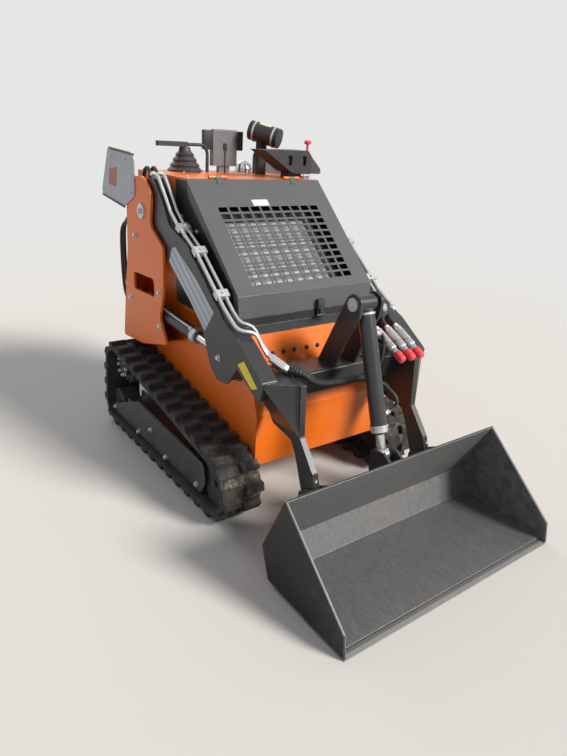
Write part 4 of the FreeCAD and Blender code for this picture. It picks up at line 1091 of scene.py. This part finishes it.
def makeWelds():
    form = bmesh.new()
    shares = [k / welds["steps"] for k in range(welds["steps"] + 1)]
    for facing, start, end in welds["seams"]:
        for sign in (1, -1):
            low, high = (at(sign * x, y, z) for x, y, z in (start, end))
            line = lineMesh([seat("bucket", low.lerp(high, share), facing, welds["reach"]) for share in shares])
            beads = grow("bucketWelds", trees["weld"], line, Bead=welds["bead"] / 1000,
                         Pitch=welds["pitch"] / 1000, Seed=welds["seed"], Finish=finishes["black_paint"])
            form.from_mesh(beads)
    finishPiece("bucketWelds", form, "bucket", "black_paint")


makeWelds()


# Step plate: raised lozenges where the operator stands, in metres

stepPlate = {"Wide": 0.5, "Deep": 0.2, "Columns": 21, "Rows": 9, "Length": 0.022}


def makeTread():
    middle = seat("chassis", at(0, 955, 200), (0, 0, 1))
    mesh = grow("stepTread", trees["tread"], lineMesh([middle, middle + at(1, 0, 0)]), Place=tuple(middle),
                Finish=finishes["black_paint"], **stepPlate)
    dress("stepTread", mesh, "chassis", "black_paint")


makeTread()
print("welds and step tread")


# Camera, floor and lamps: places in metres, angles in degrees

cameraSet = {"place": (-1.5678, -2.0458, 1.4714), "turn": 37.346, "pitch": -21.933, "roll": 3.497,
             "lens": 28.678, "sensor": 36, "clip": 60}
stageSet = {"half": 14, "floor": "#CDCCCA", "backdrop": "#F1F1F0", "glow": 0.9, "fadeFrom": 2.6, "fadeTo": 7.0,
            "sky": "#EDEFF2", "skyLight": 0.32}
# each sun's way towards it, its strength, its width as an angle and its colour
lamps = {"keyLamp": ((0.42, -0.72, 0.58), 4.5, 0.3, "#FFF8EE"),
         "fillLamp": ((-0.8, -0.35, 0.5), 0.1, 0.9, "#EAF0FF"),
         "backLamp": ((0.1, 0.8, 0.6), 0.9, 0.7, "#FFFFFF")}


def makeCamera():
    data = bpy.data.cameras.new("camera")
    data.lens = cameraSet["lens"]
    data.sensor_width = cameraSet["sensor"]
    data.clip_end = cameraSet["clip"]
    camera = bpy.data.objects.new("camera", data)
    turn, pitch, roll = (radians(cameraSet[k]) for k in ("turn", "pitch", "roll"))
    ahead = Vector((sin(turn) * cos(pitch), cos(turn) * cos(pitch), sin(pitch)))
    level = ahead.cross(Vector((0, 0, 1))).normalized()
    above = level.cross(ahead)
    right = level * cos(roll) + above * sin(roll)
    up = right.cross(ahead)
    turned = Matrix((right, up, -ahead)).transposed().to_4x4()
    camera.matrix_world = Matrix.Translation(cameraSet["place"]) @ turned
    link(camera)
    bpy.context.scene.camera = camera


def makeLamp(name, toward, strength, soft, tint):
    data = bpy.data.lights.new(name, "SUN")
    data.angle = soft
    data.energy = strength
    data.color = colour(tint)[:3]
    lamp = bpy.data.objects.new(name, data)
    lamp.rotation_euler = (-Vector(toward)).to_track_quat("-Z", "Y").to_euler()
    link(lamp)


def backdropRays(add):
    # 1 for what the camera, metal and glass show of the background, 0 for its light
    rays = add("LightPath").node.outputs
    seen = rays["Is Camera Ray"]
    for ray in ("Is Glossy Ray", "Is Transmission Ray"):
        seen = add("Math", {0: seen, 1: rays[ray]}, operation="ADD", use_clamp=True)
    return seen


def makeFloor():
    # far from the object the camera sees the floor fade into the background
    add, place, finish = newMaterial("paleStudioFloor")
    material = finish({"Base Color": stageSet["floor"], "Roughness": 0.9})
    surface = material.node_tree.nodes["Principled BSDF"].outputs[0]
    away = add("VectorMath", {0: place}, "Value", operation="LENGTH")
    far = add("MapRange", {0: away, 1: stageSet["fadeFrom"], 2: stageSet["fadeTo"]})
    glow = add("Emission", {"Color": stageSet["backdrop"], "Strength": stageSet["glow"]})
    faded = add("MixShader", {0: product(add, far, backdropRays(add)), 1: surface, 2: glow})
    fill(material.node_tree, material.node_tree.nodes["Material Output"], {"Surface": faded})
    mesh = bpy.data.meshes.new("floor")
    half = stageSet["half"]
    corners = [(-half, -half, 0), (half, -half, 0), (half, half, 0), (-half, half, 0)]
    mesh.from_pydata(corners, [], [range(4)])
    mesh.materials.append(material)
    floor = bpy.data.objects.new("floor", mesh)
    link(floor)
    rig.stage(floor)


def makeWorld():
    world = bpy.data.worlds.new("studio")
    world.use_nodes = True
    tree = world.node_tree
    add = adder(tree)
    light = tree.nodes["Background"]
    fill(tree, light, {"Color": stageSet["sky"], "Strength": stageSet["skyLight"]})
    pale = add("Background", {"Color": stageSet["backdrop"], "Strength": stageSet["glow"]})
    both = add("MixShader", {0: backdropRays(add), 1: light.outputs[0], 2: pale})
    fill(tree, tree.nodes["World Output"], {"Surface": both})
    bpy.context.scene.world = world


makeCamera()
makeFloor()
makeWorld()
for name, settings in lamps.items():
    makeLamp(name, *settings)
bpy.context.scene.view_settings.view_transform = "Standard"
print("camera, stage and lamps")

sizes = {"cad": [list(map(float, p)) for p in cadBox], "visual": [list(map(float, p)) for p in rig.bounds()]}
json.dump(sizes, open("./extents.json", "w"))
